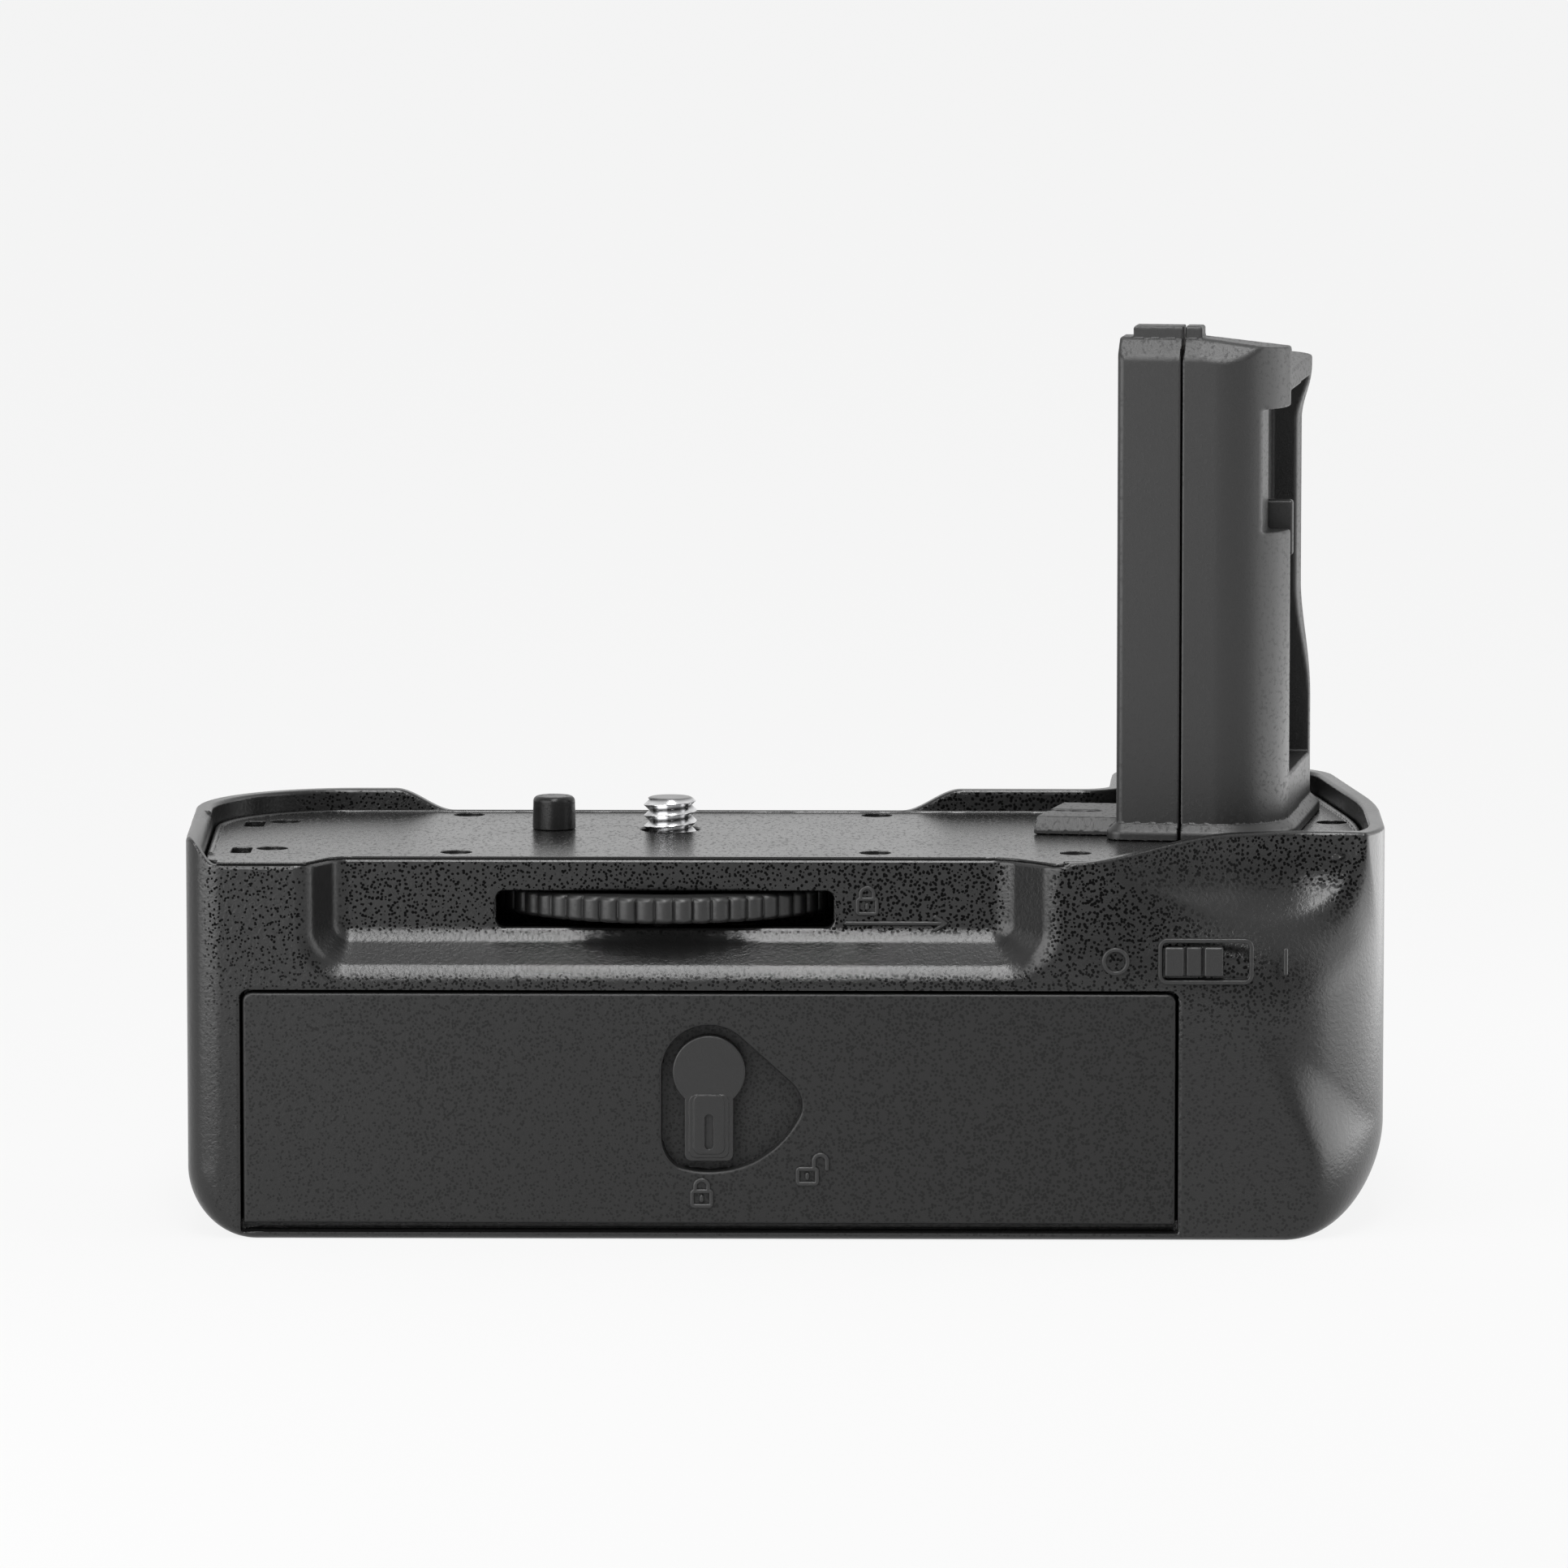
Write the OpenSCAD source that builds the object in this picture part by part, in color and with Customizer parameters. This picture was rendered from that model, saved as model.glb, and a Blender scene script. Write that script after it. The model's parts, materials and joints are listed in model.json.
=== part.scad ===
// Camera battery grip: shell, deck, stalk, geared camera screw, slide-out battery tray, latch and switch.
// Millimetres. Origin: mouth of the tripod socket, on the camera screw axis.
// +X right, +Y away from the rear, +Z up.

/* [Body] */
// Screw axis to the left end
body_left = 56; // [52:0.5:60]
// Screw axis to the right end
body_right = 83.3; // [80:0.1:88]
// Screw axis to the rear face
body_rear = 32; // [30:0.5:34]
// Screw axis to the front face
body_front = 18.5; // [17:0.5:21]
// Height of the deck above the table
deck_z = 43.5; // [42:0.5:47]
// Wall thickness of the shell
wall = 2; // [1.6:0.1:2.4]
// Floor thickness of the shell
floor_t = 1.2; // [1:0.1:1.8]
// Thickness of the deck plate
deck_t = 2; // [1.6:0.1:2.3]
// Edge of the deck plate that shows over the rear wall
deck_edge = 0.45; // [0.3:0.05:0.6]
// Set-back of that edge from the rear wall
deck_lip = 0.4; // [0.3:0.05:0.6]
// Height of the rim over the deck
rim_h = 2.6; // [1.5:0.1:3.5]
// Lean of the left end at the rear
left_lean = 1.3; // [0.5:0.1:2]
// Rear left corner radius
corner_rl = 4; // [3:0.5:8]
// Rear right corner radius
corner_rr = 17; // [14:0.5:19]
// Front left corner radius
corner_fl = 19; // [12:0.5:20]
// Rounding under the left end
foot_l = 8; // [5:0.5:9]
// Rounding under the right end
foot_r = 12; // [8:0.5:16]

/* [Rim] */
// Rear rim starts its fall this far inside the left end
rim_fall_l = 1.6; // [1:0.1:4]
// Length of the fall at the rear left
rim_run_l = 3; // [2:0.5:6]
// Rear rim is at deck level up to this X
rim_flat_r = 46; // [42:0.5:50]
// Length of the rise at the rear right
rim_run_r = 19; // [12:0.5:24]
// Front rim stops at this X on the left
front_gap_l = 26; // [20:0.5:32]
// Front rim starts at this X on the right
front_gap_r = 27; // [20:0.5:32]
// Length of each front ramp
front_run = 7; // [4:0.5:9]

/* [Hand grip] */
// Screw axis to the front of the hand grip
grip_front = 42; // [38:0.5:46]
// Left flank of the hand grip at its root
grip_left = 51.5; // [48:0.5:54]
// Right end narrows by this much at the front
grip_taper = 5.3; // [3:0.1:8]
// Right end starts to narrow at this Y
grip_taper_y = 5; // [0:0.5:10]
// Corner radius at the front of the hand grip
grip_r = 9; // [6:0.5:11]
// Inside radius at the root of the hand grip
grip_root_r = 3; // [2:0.5:5]
// Thickness of the rubber inlay
rubber_t = 0.8; // [0.6:0.1:1]
// Rubber starts this far before the front face
rubber_root = 4; // [3:0.5:8]
// Rubber stays this far over the table
rubber_low = 7; // [6:0.5:12]
// Rubber stays this far under the deck
rubber_high = 4.5; // [3:0.5:8]

/* [Wheel pocket] */
// Left end of the pocket's back wall
pocket_l = 37.6; // [34:0.1:39]
// Right end of the pocket's back wall
pocket_r = 39.1; // [34:0.1:40]
// Depth of the pocket
pocket_depth = 5.7; // [4.5:0.1:6.5]
// Deck to the foot of the back wall
pocket_drop = 9; // [8.7:0.1:10]
// Fall of the ledge to its outer edge
ledge_fall = 4.1; // [3:0.1:4.5]
// Width of the left slope
slope_l = 3.1; // [2:0.1:4]
// Width of the right slope
slope_r = 5.3; // [3:0.1:6]
// Radius of the lower corners of the pocket
pocket_corner = 3; // [2:0.5:4]

/* [Thumb scoop] */
// Scoop axis, inward from the right end
scoop_in = 19.3; // [18:0.1:21]
// Scoop axis Y
scoop_y = -4.5; // [-7:0.5:-3]
// Scoop axis to the wall of its left run, at the rim
scoop_r = 19.5; // [18.5:0.1:20.5]
// Flare from the rim to the foot of the scoop
scoop_flare = 8; // [6:0.5:10]
// Deck to the foot of the scoop
scoop_drop = 8.3; // [7:0.1:8.6]
// Set-back of the scoop's level run from the rear face, at the rim
scoop_back = 9.7; // [9:0.1:10.5]
// Angle of the scoop's run to the left
scoop_angle = 22; // [20:1:28]

/* [Lock wheel] */
// Wheel radius over the teeth
wheel_r = 19.3; // [18.5:0.1:19.8]
// Wheel thickness
wheel_t = 2.5; // [2:0.1:2.8]
// Deck to the middle of the wheel
wheel_drop = 6.05; // [5.9:0.05:6.4]
// Wheel axle to the camera screw axis
wheel_back = 8.8; // [8.4:0.1:9.6]
// Number of grooves round the wheel
groove_n = 60; // [48:4:64]
// Radius of each groove
groove_r = 0.62; // [0.4:0.02:0.7]
// Axle radius
axle_r = 2; // [1.5:0.1:2.2]
// Slot over the wheel, above and below
slot_gap = 0.9; // [0.5:0.1:1]
// Teeth on each gear, a multiple of four
gear_n = 16; // [16:4:20]
// Tooth height over and under the pitch circle
gear_tooth = 0.5; // [0.3:0.05:0.6]
// Washer thickness
washer_t = 0.4; // [0.3:0.05:0.6]

/* [Camera screw] */
// Crest radius of the 1/4 inch thread
screw_r = 3.175; // [3:0.005:3.3]
// Thread pitch
screw_pitch = 1.27; // [1:0.01:1.4]
// Depth of the thread groove
thread_depth = 0.55; // [0.4:0.05:0.65]
// Stand of the screw over the deck
screw_h = 3.8; // [3.5:0.1:6]
// Radius of the screw's core in the gear
core_r = 2.2; // [1.8:0.1:2.4]
// Clearance hole round the screw
screw_hole = 0.35; // [0.2:0.05:0.6]

/* [Locating pin] */
// Pin to the camera screw axis
pin_x = 13.6; // [11:0.1:16]
// Pin radius
pin_r = 2.53; // [2:0.01:3]
// Stand of the pin over the deck
pin_h = 3.9; // [3:0.1:5]
// Rounding of the pin's top
pin_edge = 0.8; // [0.4:0.1:1.2]
// Flange of the pin beyond its radius
pin_flange = 1.2; // [0.8:0.1:1.6]

/* [Deck fasteners] */
// Inner screws, either side of the axis
ds_x = 24.1; // [23:0.1:26]
// Rear row, margin of a head to the edge of the plate
ds_rear_in = 0.4; // [0.3:0.1:1]
// Front row, inward from the front face
ds_front_in = 5.3; // [4.5:0.1:6]
// Right rear screw X
ds_right_x = 47.1; // [46:0.1:49]
// Left screws, inward from the left end
ds_left_in = 10.5; // [9.5:0.1:11]
// Left screws, rear one Y
ds_left_rear = -18.8; // [-21:0.1:-16]
// Left screws, front one Y
ds_left_front = 6.4; // [3:0.1:7]
// End screw, inward from the right end
ds_end_in = 5.7; // [5:0.1:6]
// End screw Y
ds_end_y = 7.2; // [2:0.1:9]
// Screw head radius
head_r = 1.65; // [1.5:0.05:1.8]
// Screw head depth
head_h = 0.9; // [0.7:0.05:1]
// Screw shank radius
shank_r = 1; // [0.8:0.05:1.1]
// Screw shank length under the head
shank_l = 5.5; // [4:0.1:6]
// Post radius
post_r = 2.4; // [2.2:0.1:2.6]
// Small deck slots, inward from the left end
slot_in = 6.7; // [5:0.1:7]
// Width of the small deck slots
slot_w = 2.3; // [1.5:0.1:2.8]
// Length of the small deck slots
slot_l = 4.4; // [3:0.1:6]
// Rear deck slot, middle Y
slot_rear = -21.7; // [-23:0.1:-18]
// Front deck slot, middle Y
slot_front = 5.2; // [-3:0.1:5.6]

/* [Tray] */
// Left edge of the tray front, inward from the left end
door_in_l = 7.8; // [7.4:0.1:10]
// Right edge of the tray front, inward from the right end
door_in_r = 24.8; // [24:0.1:27]
// Lower edge of the tray front
door_low = 1.9; // [1.5:0.1:2.4]
// Deck to the upper edge of the tray front
door_drop = 15; // [14.8:0.1:16]
// Thickness of the tray front
door_t = 2.2; // [2:0.1:2.4]
// Corner radius of the tray front
door_r_corner = 1; // [0.5:0.1:2]
// Body lip under the tray front
lip = 0.9; // [0.7:0.1:1]
// Gap round the tray front
door_gap = 0.3; // [0.2:0.05:0.5]
// Tray is narrower than its front on each side
tray_in = 1.4; // [1.2:0.1:1.8]
// Outer walls of the tray
tray_wall = 1; // [0.8:0.1:1.4]
// Wall between the two bays
divider = 1.6; // [1.2:0.1:2.4]
// Room for the spring contacts behind the tray
contact_room = 2; // [1.6:0.1:2.6]
// Space for the latch tongue behind the tray front
tongue_room = 2.4; // [2.3:0.1:2.6]
// Tray floor over the tripod socket
tray_lift = 0.5; // [0.3:0.1:1]
// Tray top under the upper edge of its front
tray_low = 0.5; // [0.4:0.1:1]
// Length of the contact blades
blade_l = 12; // [8:0.5:16]
// Height of the contact blades
blade_h = 3; // [2:0.1:4]
// Thickness of the contact blades
blade_t = 0.4; // [0.3:0.05:0.5]
// Spacing of the contact blades
blade_step = 5; // [4.5:0.1:6]

/* [Latch] */
// Upper edge of the tray front to the latch pivot
latch_drop = 9.1; // [8.9:0.1:10]
// Latch disc radius
latch_r = 4.2; // [3.6:0.1:4.4]
// Handle length from the pivot
latch_l = 10.3; // [9:0.1:10.8]
// Handle width at its foot
latch_w = 5.6; // [4.5:0.1:6]
// Ridge width on the handle
latch_ridge = 3.6; // [2.5:0.1:4]
// Ridge length below the pivot
latch_ridge_l = 9.4; // [7:0.1:9.8]
// Play of the handle in its pocket
latch_play = 1.2; // [1:0.1:1.4]
// Swing from locked to open, degrees
latch_swing = 49; // [40:1:55]
// Latch shaft radius
latch_shaft = 1.8; // [1.4:0.1:2]
// Wall behind the latch pocket
latch_floor = 1.2; // [1:0.1:1.3]
// Tongue length from the pivot
tongue_l = 8.4; // [7:0.1:8.6]
// Tongue width
tongue_w = 4; // [3:0.1:5]
// Tongue thickness
tongue_t = 0.8; // [0.6:0.05:0.9]

/* [Switch] */
// Switch recess centre X
switch_x = 61.9; // [61.5:0.1:63]
// Deck to the centre of the switch recess
switch_drop = 11.2; // [10.9:0.1:11.5]
// Recess width
switch_w = 10; // [9.5:0.1:11]
// Recess height
switch_h = 4.4; // [4:0.1:4.8]
// Recess depth
switch_depth = 1.1; // [0.9:0.1:1.2]
// Knob width
knob_w = 6.7; // [6:0.1:7]
// Knob height
knob_h = 3.4; // [3:0.1:3.6]
// Knob stand over the recess floor
knob_t = 1.5; // [1.2:0.1:2]
// Travel of the knob
switch_travel = 2.5; // [2:0.1:2.7]
// Stem width
stem_w = 3; // [2:0.1:3.4]
// Stem height
stem_h = 1.8; // [1.4:0.1:2]

/* [Stalk] */
// Near left edge of the stalk, X
stalk_x = 51.9; // [51.5:0.1:52.5]
// Near left edge of the stalk, Y
stalk_y = -9.6; // [-10:0.1:-8]
// Turn of the stalk in plan, degrees
stalk_yaw = 8.2; // [7:0.1:9]
// Stalk thickness
stalk_w = 19.3; // [19:0.1:20]
// Stalk depth
stalk_d = 39; // [37:0.1:39.5]
// Stalk height over the deck
stalk_h = 58.5; // [50:0.5:66]
// Rounding of the right corners of the stalk
stalk_r = 8; // [6:0.5:8.5]
// Wall of the stalk shells
stalk_wall = 1.6; // [1.2:0.1:1.8]
// Parting line from the left face
seam_u = 7.5; // [7.2:0.1:8]
// Width of the parting groove
seam_w = 0.3; // [0.2:0.05:0.4]
// Chamfer at the near top edge
top_chamfer = 2.3; // [1.5:0.1:3]
// Raised block on the top
block_h = 1.3; // [1:0.1:2]
// Raised block width
block_w = 9.6; // [8.5:0.1:12]
// Raised block depth
block_d = 3.4; // [2:0.1:3.6]
// Depth of the high ridge on the top
ridge_d = 6.4; // [6.2:0.1:8]
// Step down to the terminals
step_h = 4.2; // [3.5:0.1:4.5]
// Height of the collar round the foot
collar_h = 2; // [1.6:0.1:2.3]
// Collar reach beyond the stalk
collar_out = 1.1; // [0.8:0.1:1.3]
// Reach of the foot tab to the left
tab_reach = 10; // [8:0.1:11]
// Depth of the foot tab
tab_depth = 15; // [12:0.1:17]
// Foot tab starts this far behind the near face
tab_start = 3.2; // [3:0.1:5]
// Length of the slot in the foot tab
tab_slot_l = 6; // [4:0.1:6.5]
// Width of the slot in the foot tab
tab_slot_w = 1.8; // [1:0.1:2.4]

/* [Storage pocket] */
// Depth of the storage pocket
store_depth = 4.6; // [4.3:0.1:5]
// Near lip of the storage pocket
store_near = 8.6; // [8.5:0.1:10]
// Far lip of the storage pocket
store_far = 8.2; // [8:0.1:9]
// Floor of the pocket over the deck
store_low = 7; // [5:0.1:10]
// Roof of the pocket under the top
store_high = 6.6; // [6.2:0.1:8]
// Scoop in the far lip
lip_scoop = 1.7; // [1:0.1:2]
// Scoop starts this far over the deck
lip_scoop_low = 13; // [10:0.5:18]
// Scoop stops this far under the top
lip_scoop_high = 5; // [3:0.5:8]
// Run of the scoop's ends
lip_scoop_run = 14; // [8:0.5:16]
// Window in the near lip, depth into the shell
window_in = 2.6; // [2.2:0.1:3.2]
// Window in the near lip, height
window_h = 14.3; // [10:0.1:16]
// Top of the window under the top of the stalk
window_drop = 8.3; // [7:0.1:12]
// Catch height
clip_h = 6.5; // [5:0.1:8]
// Catch thickness
clip_t = 1.2; // [1:0.1:1.5]
// Catch reach
clip_reach = 4.6; // [4:0.1:4.8]

/* [Inside] */
// Wall of the inner frame
frame_wall = 1; // [0.8:0.1:1]
// Roof of the inner frame
frame_roof = 1.3; // [1:0.1:1.4]
// Reach of the tray rails
rail_in = 3; // [2:0.1:4]
// Height of the tray rails
rail_h = 1.3; // [1:0.1:1.8]
// Tripod socket outer radius
socket_r = 5.5; // [5:0.1:6.5]
// Tripod socket height
socket_h = 6; // [5.5:0.1:6.3]
// Base plate thickness
base_t = 1.5; // [1.2:0.1:1.8]
// Base plate, half width
base_w = 37; // [30:0.5:40]
// Base plate, half depth
base_d = 14; // [11:0.5:15]
// Base screws, inward from the plate's edge
base_screw_in = 4; // [3:0.1:6]
// Board width
board_w = 19; // [16:0.5:20]
// Board depth
board_d = 22; // [18:0.5:26]
// Board thickness
board_t = 1.2; // [0.8:0.1:1.6]
// Pegs under the board
peg_h = 2; // [1.5:0.1:2.5]
// Lead width
lead_w = 8; // [6:0.1:9]
// Lead thickness
lead_t = 0.3; // [0.2:0.05:0.5]
// Switch body width
module_w = 9; // [8:0.1:10]
// Switch body depth
module_d = 4; // [3:0.1:5]

/* [Fits] */
// Gap between pieces that touch
touch = 0.05; // [0.02:0.01:0.1]
// Radial clearance of a turning fit
run = 0.06; // [0.03:0.01:0.1]
// Clearance of a sliding fit
slide = 0.3; // [0.2:0.05:0.35]
// Gap round the deck plate
deck_gap = 0.25; // [0.1:0.05:0.35]

/* [View] */
// Node to draw, or all of them

/* [Hidden] */
$fn = 64;
cut = 1;
thin = 0.02;
dark = [0.12, 0.12, 0.13];
darker = [0.07, 0.07, 0.08];
metal = [0.75, 0.75, 0.77];
gold = [0.8, 0.65, 0.3];
green = [0.1, 0.3, 0.18];
scoop_steps = 8;
bend_steps = 8;
rim_top = deck_z + rim_h;
rim_start = -body_left + rim_fall_l + rim_run_l;
deck_under = deck_z - deck_t;
far = grip_front + cut;
body_span = body_left + body_right;
scoop_x = body_right - scoop_in;
scoop_low = deck_z - scoop_drop;
pocket_back = -body_rear + pocket_depth;
pocket_floor = deck_z - pocket_drop;
wheel_mid = deck_z - wheel_drop;
wheel_low = wheel_mid - wheel_t / 2;
wheel_top = wheel_mid + wheel_t / 2;
slot_half = wheel_r + 2 * touch;
gear_low = wheel_top + slide;
gear_top = deck_under - slide;
gear_r = wheel_back / 2;
pin_neck = pin_r - pin_edge / 2;
door_l = body_left - door_in_l;
door_r = body_right - door_in_r;
door_high = deck_z - door_drop;
door_back = -body_rear + door_t;
tray_l = door_l - tray_in;
tray_r = door_r - tray_in;
tray_mid = (door_r - door_l) / 2;
tray_front_y = door_back + tongue_room;
bay_front = tray_front_y + tray_wall;
frame_back = body_front - wall - touch;
tray_back = frame_back - frame_wall - contact_room;
bay_back = tray_back - tray_wall;
tray_floor = socket_h + tray_lift;
tray_high = door_high - tray_low;
bay_low = tray_floor + tray_wall;
bay_w = (tray_l + tray_r - 2 * tray_wall - divider) / 2;
frame_l = tray_l + slide + frame_wall;
frame_r = tray_r + slide + frame_wall;
frame_front = -body_rear + wall + slide;
roof_low = door_high + door_gap;
roof_top = roof_low + frame_roof;
latch_x = tray_mid;
latch_z = door_high - latch_drop;
latch_pocket_r = latch_r + latch_play;
latch_pocket_l = latch_l + latch_play;
switch_z = deck_z - switch_drop;
knob_x = switch_x - switch_w / 2 + slide + knob_w / 2;
ds_rear = pocket_back + wall + deck_gap + head_r + ds_rear_in;
ds_front = body_front - ds_front_in;
wall_screws = [[-ds_x, ds_rear], [ds_x, ds_rear], [-ds_x, ds_front], [ds_x, ds_front],
    [body_right - ds_end_in, ds_end_y]];
frame_screws = [[ds_right_x, ds_rear], [ds_left_in - body_left, ds_left_rear],
    [ds_left_in - body_left, ds_left_front]];
base_screws_at = [for (x = [-1, 1], y = [-1, 1])
    [x * (base_w - base_screw_in), y * (base_d - base_screw_in)]];
board_x = wheel_r + post_r + 4 * wall;
board_y = -board_d / 2;
board_low = roof_top + peg_h;
board_in = 2 * shank_r;
board_holes = [[board_x + board_in, board_y + board_in], [board_x + board_in, board_y + board_d - board_in],
    [board_x + board_w - board_in, board_y + board_in]];
store_u = stalk_w - store_depth;
store_top = stalk_h - store_high;
stalk_inner = store_u - stalk_wall;
high_u = seam_u + 2;
high_edge = stalk_d / 4;
foot_screw_l = [seam_u / 2, stalk_d - 3 * post_r];
foot_screw_r = [(seam_u + stalk_inner) / 2, stalk_d / 3];
foot_head = 2 * shank_r;
foot_l_up = 4 * shank_r;
top_low = stalk_h - step_h - stalk_wall;
term_near = stalk_d / 2 - 2;
term_far = stalk_d - 6 * stalk_wall;
lead_v = stalk_d / 3 + lead_w / 2;
lead_u = seam_u / 2;

// Helpers for outlines with true round corners; each circle stops just short of its edges, so none is tangent
function unit(v) = v / norm(v);
function turn(a, b) = a.x * b.y - a.y * b.x;
function at(p, i) = p[(i + len(p)) % len(p)];
function side(p, i) = let (e = unit(at(p, i + 1) - at(p, i))) [-e.y, e.x];
function inset(p, d) = [for (i = [0 : len(p) - 1])
    let (n = side(p, i - 1), m = side(p, i)) p[i] + d * (n + m) / (1 + n * m)];
function convex(p, i) = turn(p[i] - at(p, i - 1), at(p, i + 1) - p[i]) > 0;
function half(p, i) = acos(unit(at(p, i - 1) - p[i]) * unit(at(p, i + 1) - p[i])) / 2;
function before(p, i, r) = p[i] + unit(at(p, i - 1) - p[i]) * r / tan(half(p, i));
function after(p, i, r) = p[i] + unit(at(p, i + 1) - p[i]) * r / tan(half(p, i));
function centre(p, i, r) = p[i]
    + unit(unit(at(p, i - 1) - p[i]) + unit(at(p, i + 1) - p[i])) * r / sin(half(p, i));
function swing(a, b) = atan2(turn(a, b), a * b);
function bend(c, a, b) = let (v = a - c, w = swing(v, b - c), n = atan2(v.y, v.x))
    [for (k = [0 : bend_steps]) c + norm(v) * [cos(n + w * k / bend_steps), sin(n + w * k / bend_steps)]];
function grown(p, i, r, d) = r <= 0 ? 0 : convex(p, i) ? max(r - d, 5 * thin) : r + d;

module rounded(p, radii, d = 0) {
    q = inset(p, d);
    r = [for (i = [0 : len(p) - 1]) grown(p, i, radii[i], d)];
    union() {
        polygon([for (i = [0 : len(q) - 1])
            each r[i] <= 0 ? [q[i]]
                : convex(q, i) ? [before(q, i, r[i]), after(q, i, r[i])]
                : bend(centre(q, i, r[i]), before(q, i, r[i]), after(q, i, r[i]))]);
        for (i = [0 : len(q) - 1]) {
            if (r[i] > 0 && convex(q, i)) {
                translate(centre(q, i, r[i])) circle(r[i] - thin);
            }
        }
    }
}

module box(x0, x1, y0, y1, z0, z1) {
    translate([x0, y0, z0]) cube([x1 - x0, y1 - y0, z1 - z0]);
}

// A drawing in X and Z pushed through from y0 to y1
module through(y0, y1) {
    translate([0, y1, 0]) rotate([90, 0, 0]) linear_extrude(y1 - y0) children();
}

module in_stalk(z = 0) {
    translate([stalk_x, stalk_y, deck_z + z]) rotate([0, 0, -stalk_yaw]) children();
}

module plan(d) {
    rounded([[left_lean - body_left, -body_rear], [body_right, -body_rear], [body_right, grip_taper_y],
        [body_right - grip_taper, grip_front], [grip_left + wall / 2, grip_front], [grip_left, body_front],
        [-body_left, body_front]], [corner_rl, corner_rr, 0, grip_r, grip_r, grip_root_r, corner_fl], d);
}

// Solid between the table side and a top height, drawn in by d at the walls and low at the floor
module body(d, low, top) {
    intersection() {
        translate([0, 0, low]) linear_extrude(top - low) plan(d);
        through(-body_rear - cut, far)
            rounded([[d - body_left, low], [body_right - d, low], [body_right - d, top + cut],
                [d - body_left, top + cut]], [foot_l - d, foot_r - d, 0, 0]);
    }
}

module pocket_slice(y, k, d) {
    left = -pocket_l - k * slope_l - d;
    right = pocket_r + k * slope_r + d;
    low = pocket_floor - k * ledge_fall - d;
    through(y - thin, y)
        rounded([[left, low], [right, low], [right, rim_top + 2 * cut], [left, rim_top + 2 * cut]],
            [pocket_corner + d, pocket_corner + d, 0, 0]);
}

// Wheel pocket, grown by d
module pocket(d) {
    hull() {
        pocket_slice(pocket_back + d, 0, d);
        pocket_slice(-body_rear - cut, 1 + cut / pocket_depth, d);
    }
}

function scoop_at(z) = scoop_r + scoop_flare * pow((rim_top - z) / (rim_top - scoop_low), 2);

module scoop_profile(d) {
    low = scoop_low - d;
    polygon(concat([for (i = [0 : scoop_steps])
        let (z = scoop_low + (rim_top - scoop_low) * i / scoop_steps) [scoop_at(z) - d, z]],
        [[scoop_r - d, rim_top + 2 * cut], [body_rear * 2, rim_top + 2 * cut], [body_rear * 2, low],
        [scoop_at(scoop_low) - d, low]]));
}

// Set-back at the rear right, under the rim
module thumb_scoop(d) {
    intersection() {
        scoop_run(scoop_angle - 90, scoop_r, d);
        scoop_run(-90, body_rear + scoop_y - scoop_back, d);
    }
}

// One run of the scoop, turned about its axis, with its wall at a distance r from the axis at the rim
module scoop_run(turned, r, d) {
    translate([scoop_x, scoop_y, 0]) rotate([0, 0, turned]) rotate([90, 0, 0])
        linear_extrude(body_rear * 4, center = true) translate([r - scoop_r, 0]) scoop_profile(d);
}

module rim_cuts() {
    over = rim_top + cut;
    k = (rim_h + cut) / rim_h;
    low = deck_z - deck_edge - touch;
    through(-body_rear - cut, scoop_y)
        polygon([[rim_start - rim_run_l * k, over], [rim_start, deck_z], [rim_start, low], [rim_flat_r, low],
            [rim_flat_r, deck_z], [rim_flat_r + rim_run_r * k, over]]);
    through(body_front - 4 * wall, body_front + cut)
        polygon([[-front_gap_l - front_run * k, over], [-front_gap_l, deck_z], [front_gap_r, deck_z],
            [front_gap_r + front_run * k, over]]);
}

module rubber_zone(d) {
    box(grip_left - 2 * wall, body_right + cut, body_front + rubber_root - d, far, rubber_low - d,
        deck_z - rubber_high + d);
}

module screw(shank) {
    difference() {
        union() {
            translate([0, 0, -head_h]) cylinder(h = head_h, r1 = shank_r, r2 = head_r);
            translate([0, 0, -head_h - shank]) cylinder(h = shank + thin, r = shank_r);
        }
        for (a = [0, 90]) {
            rotate([0, 0, a])
                box(-head_r * 0.65, head_r * 0.65, -head_r / 7, head_r / 7, -head_h / 2, cut);
        }
    }
}

module screw_seat(deep) {
    translate([0, 0, -head_h - touch]) cylinder(h = head_h, r1 = shank_r + touch, r2 = head_r + touch);
    translate([0, 0, -thin - touch]) cylinder(h = cut, r = head_r + touch);
    translate([0, 0, -deep]) cylinder(h = deep, r = shank_r + touch);
}

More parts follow.
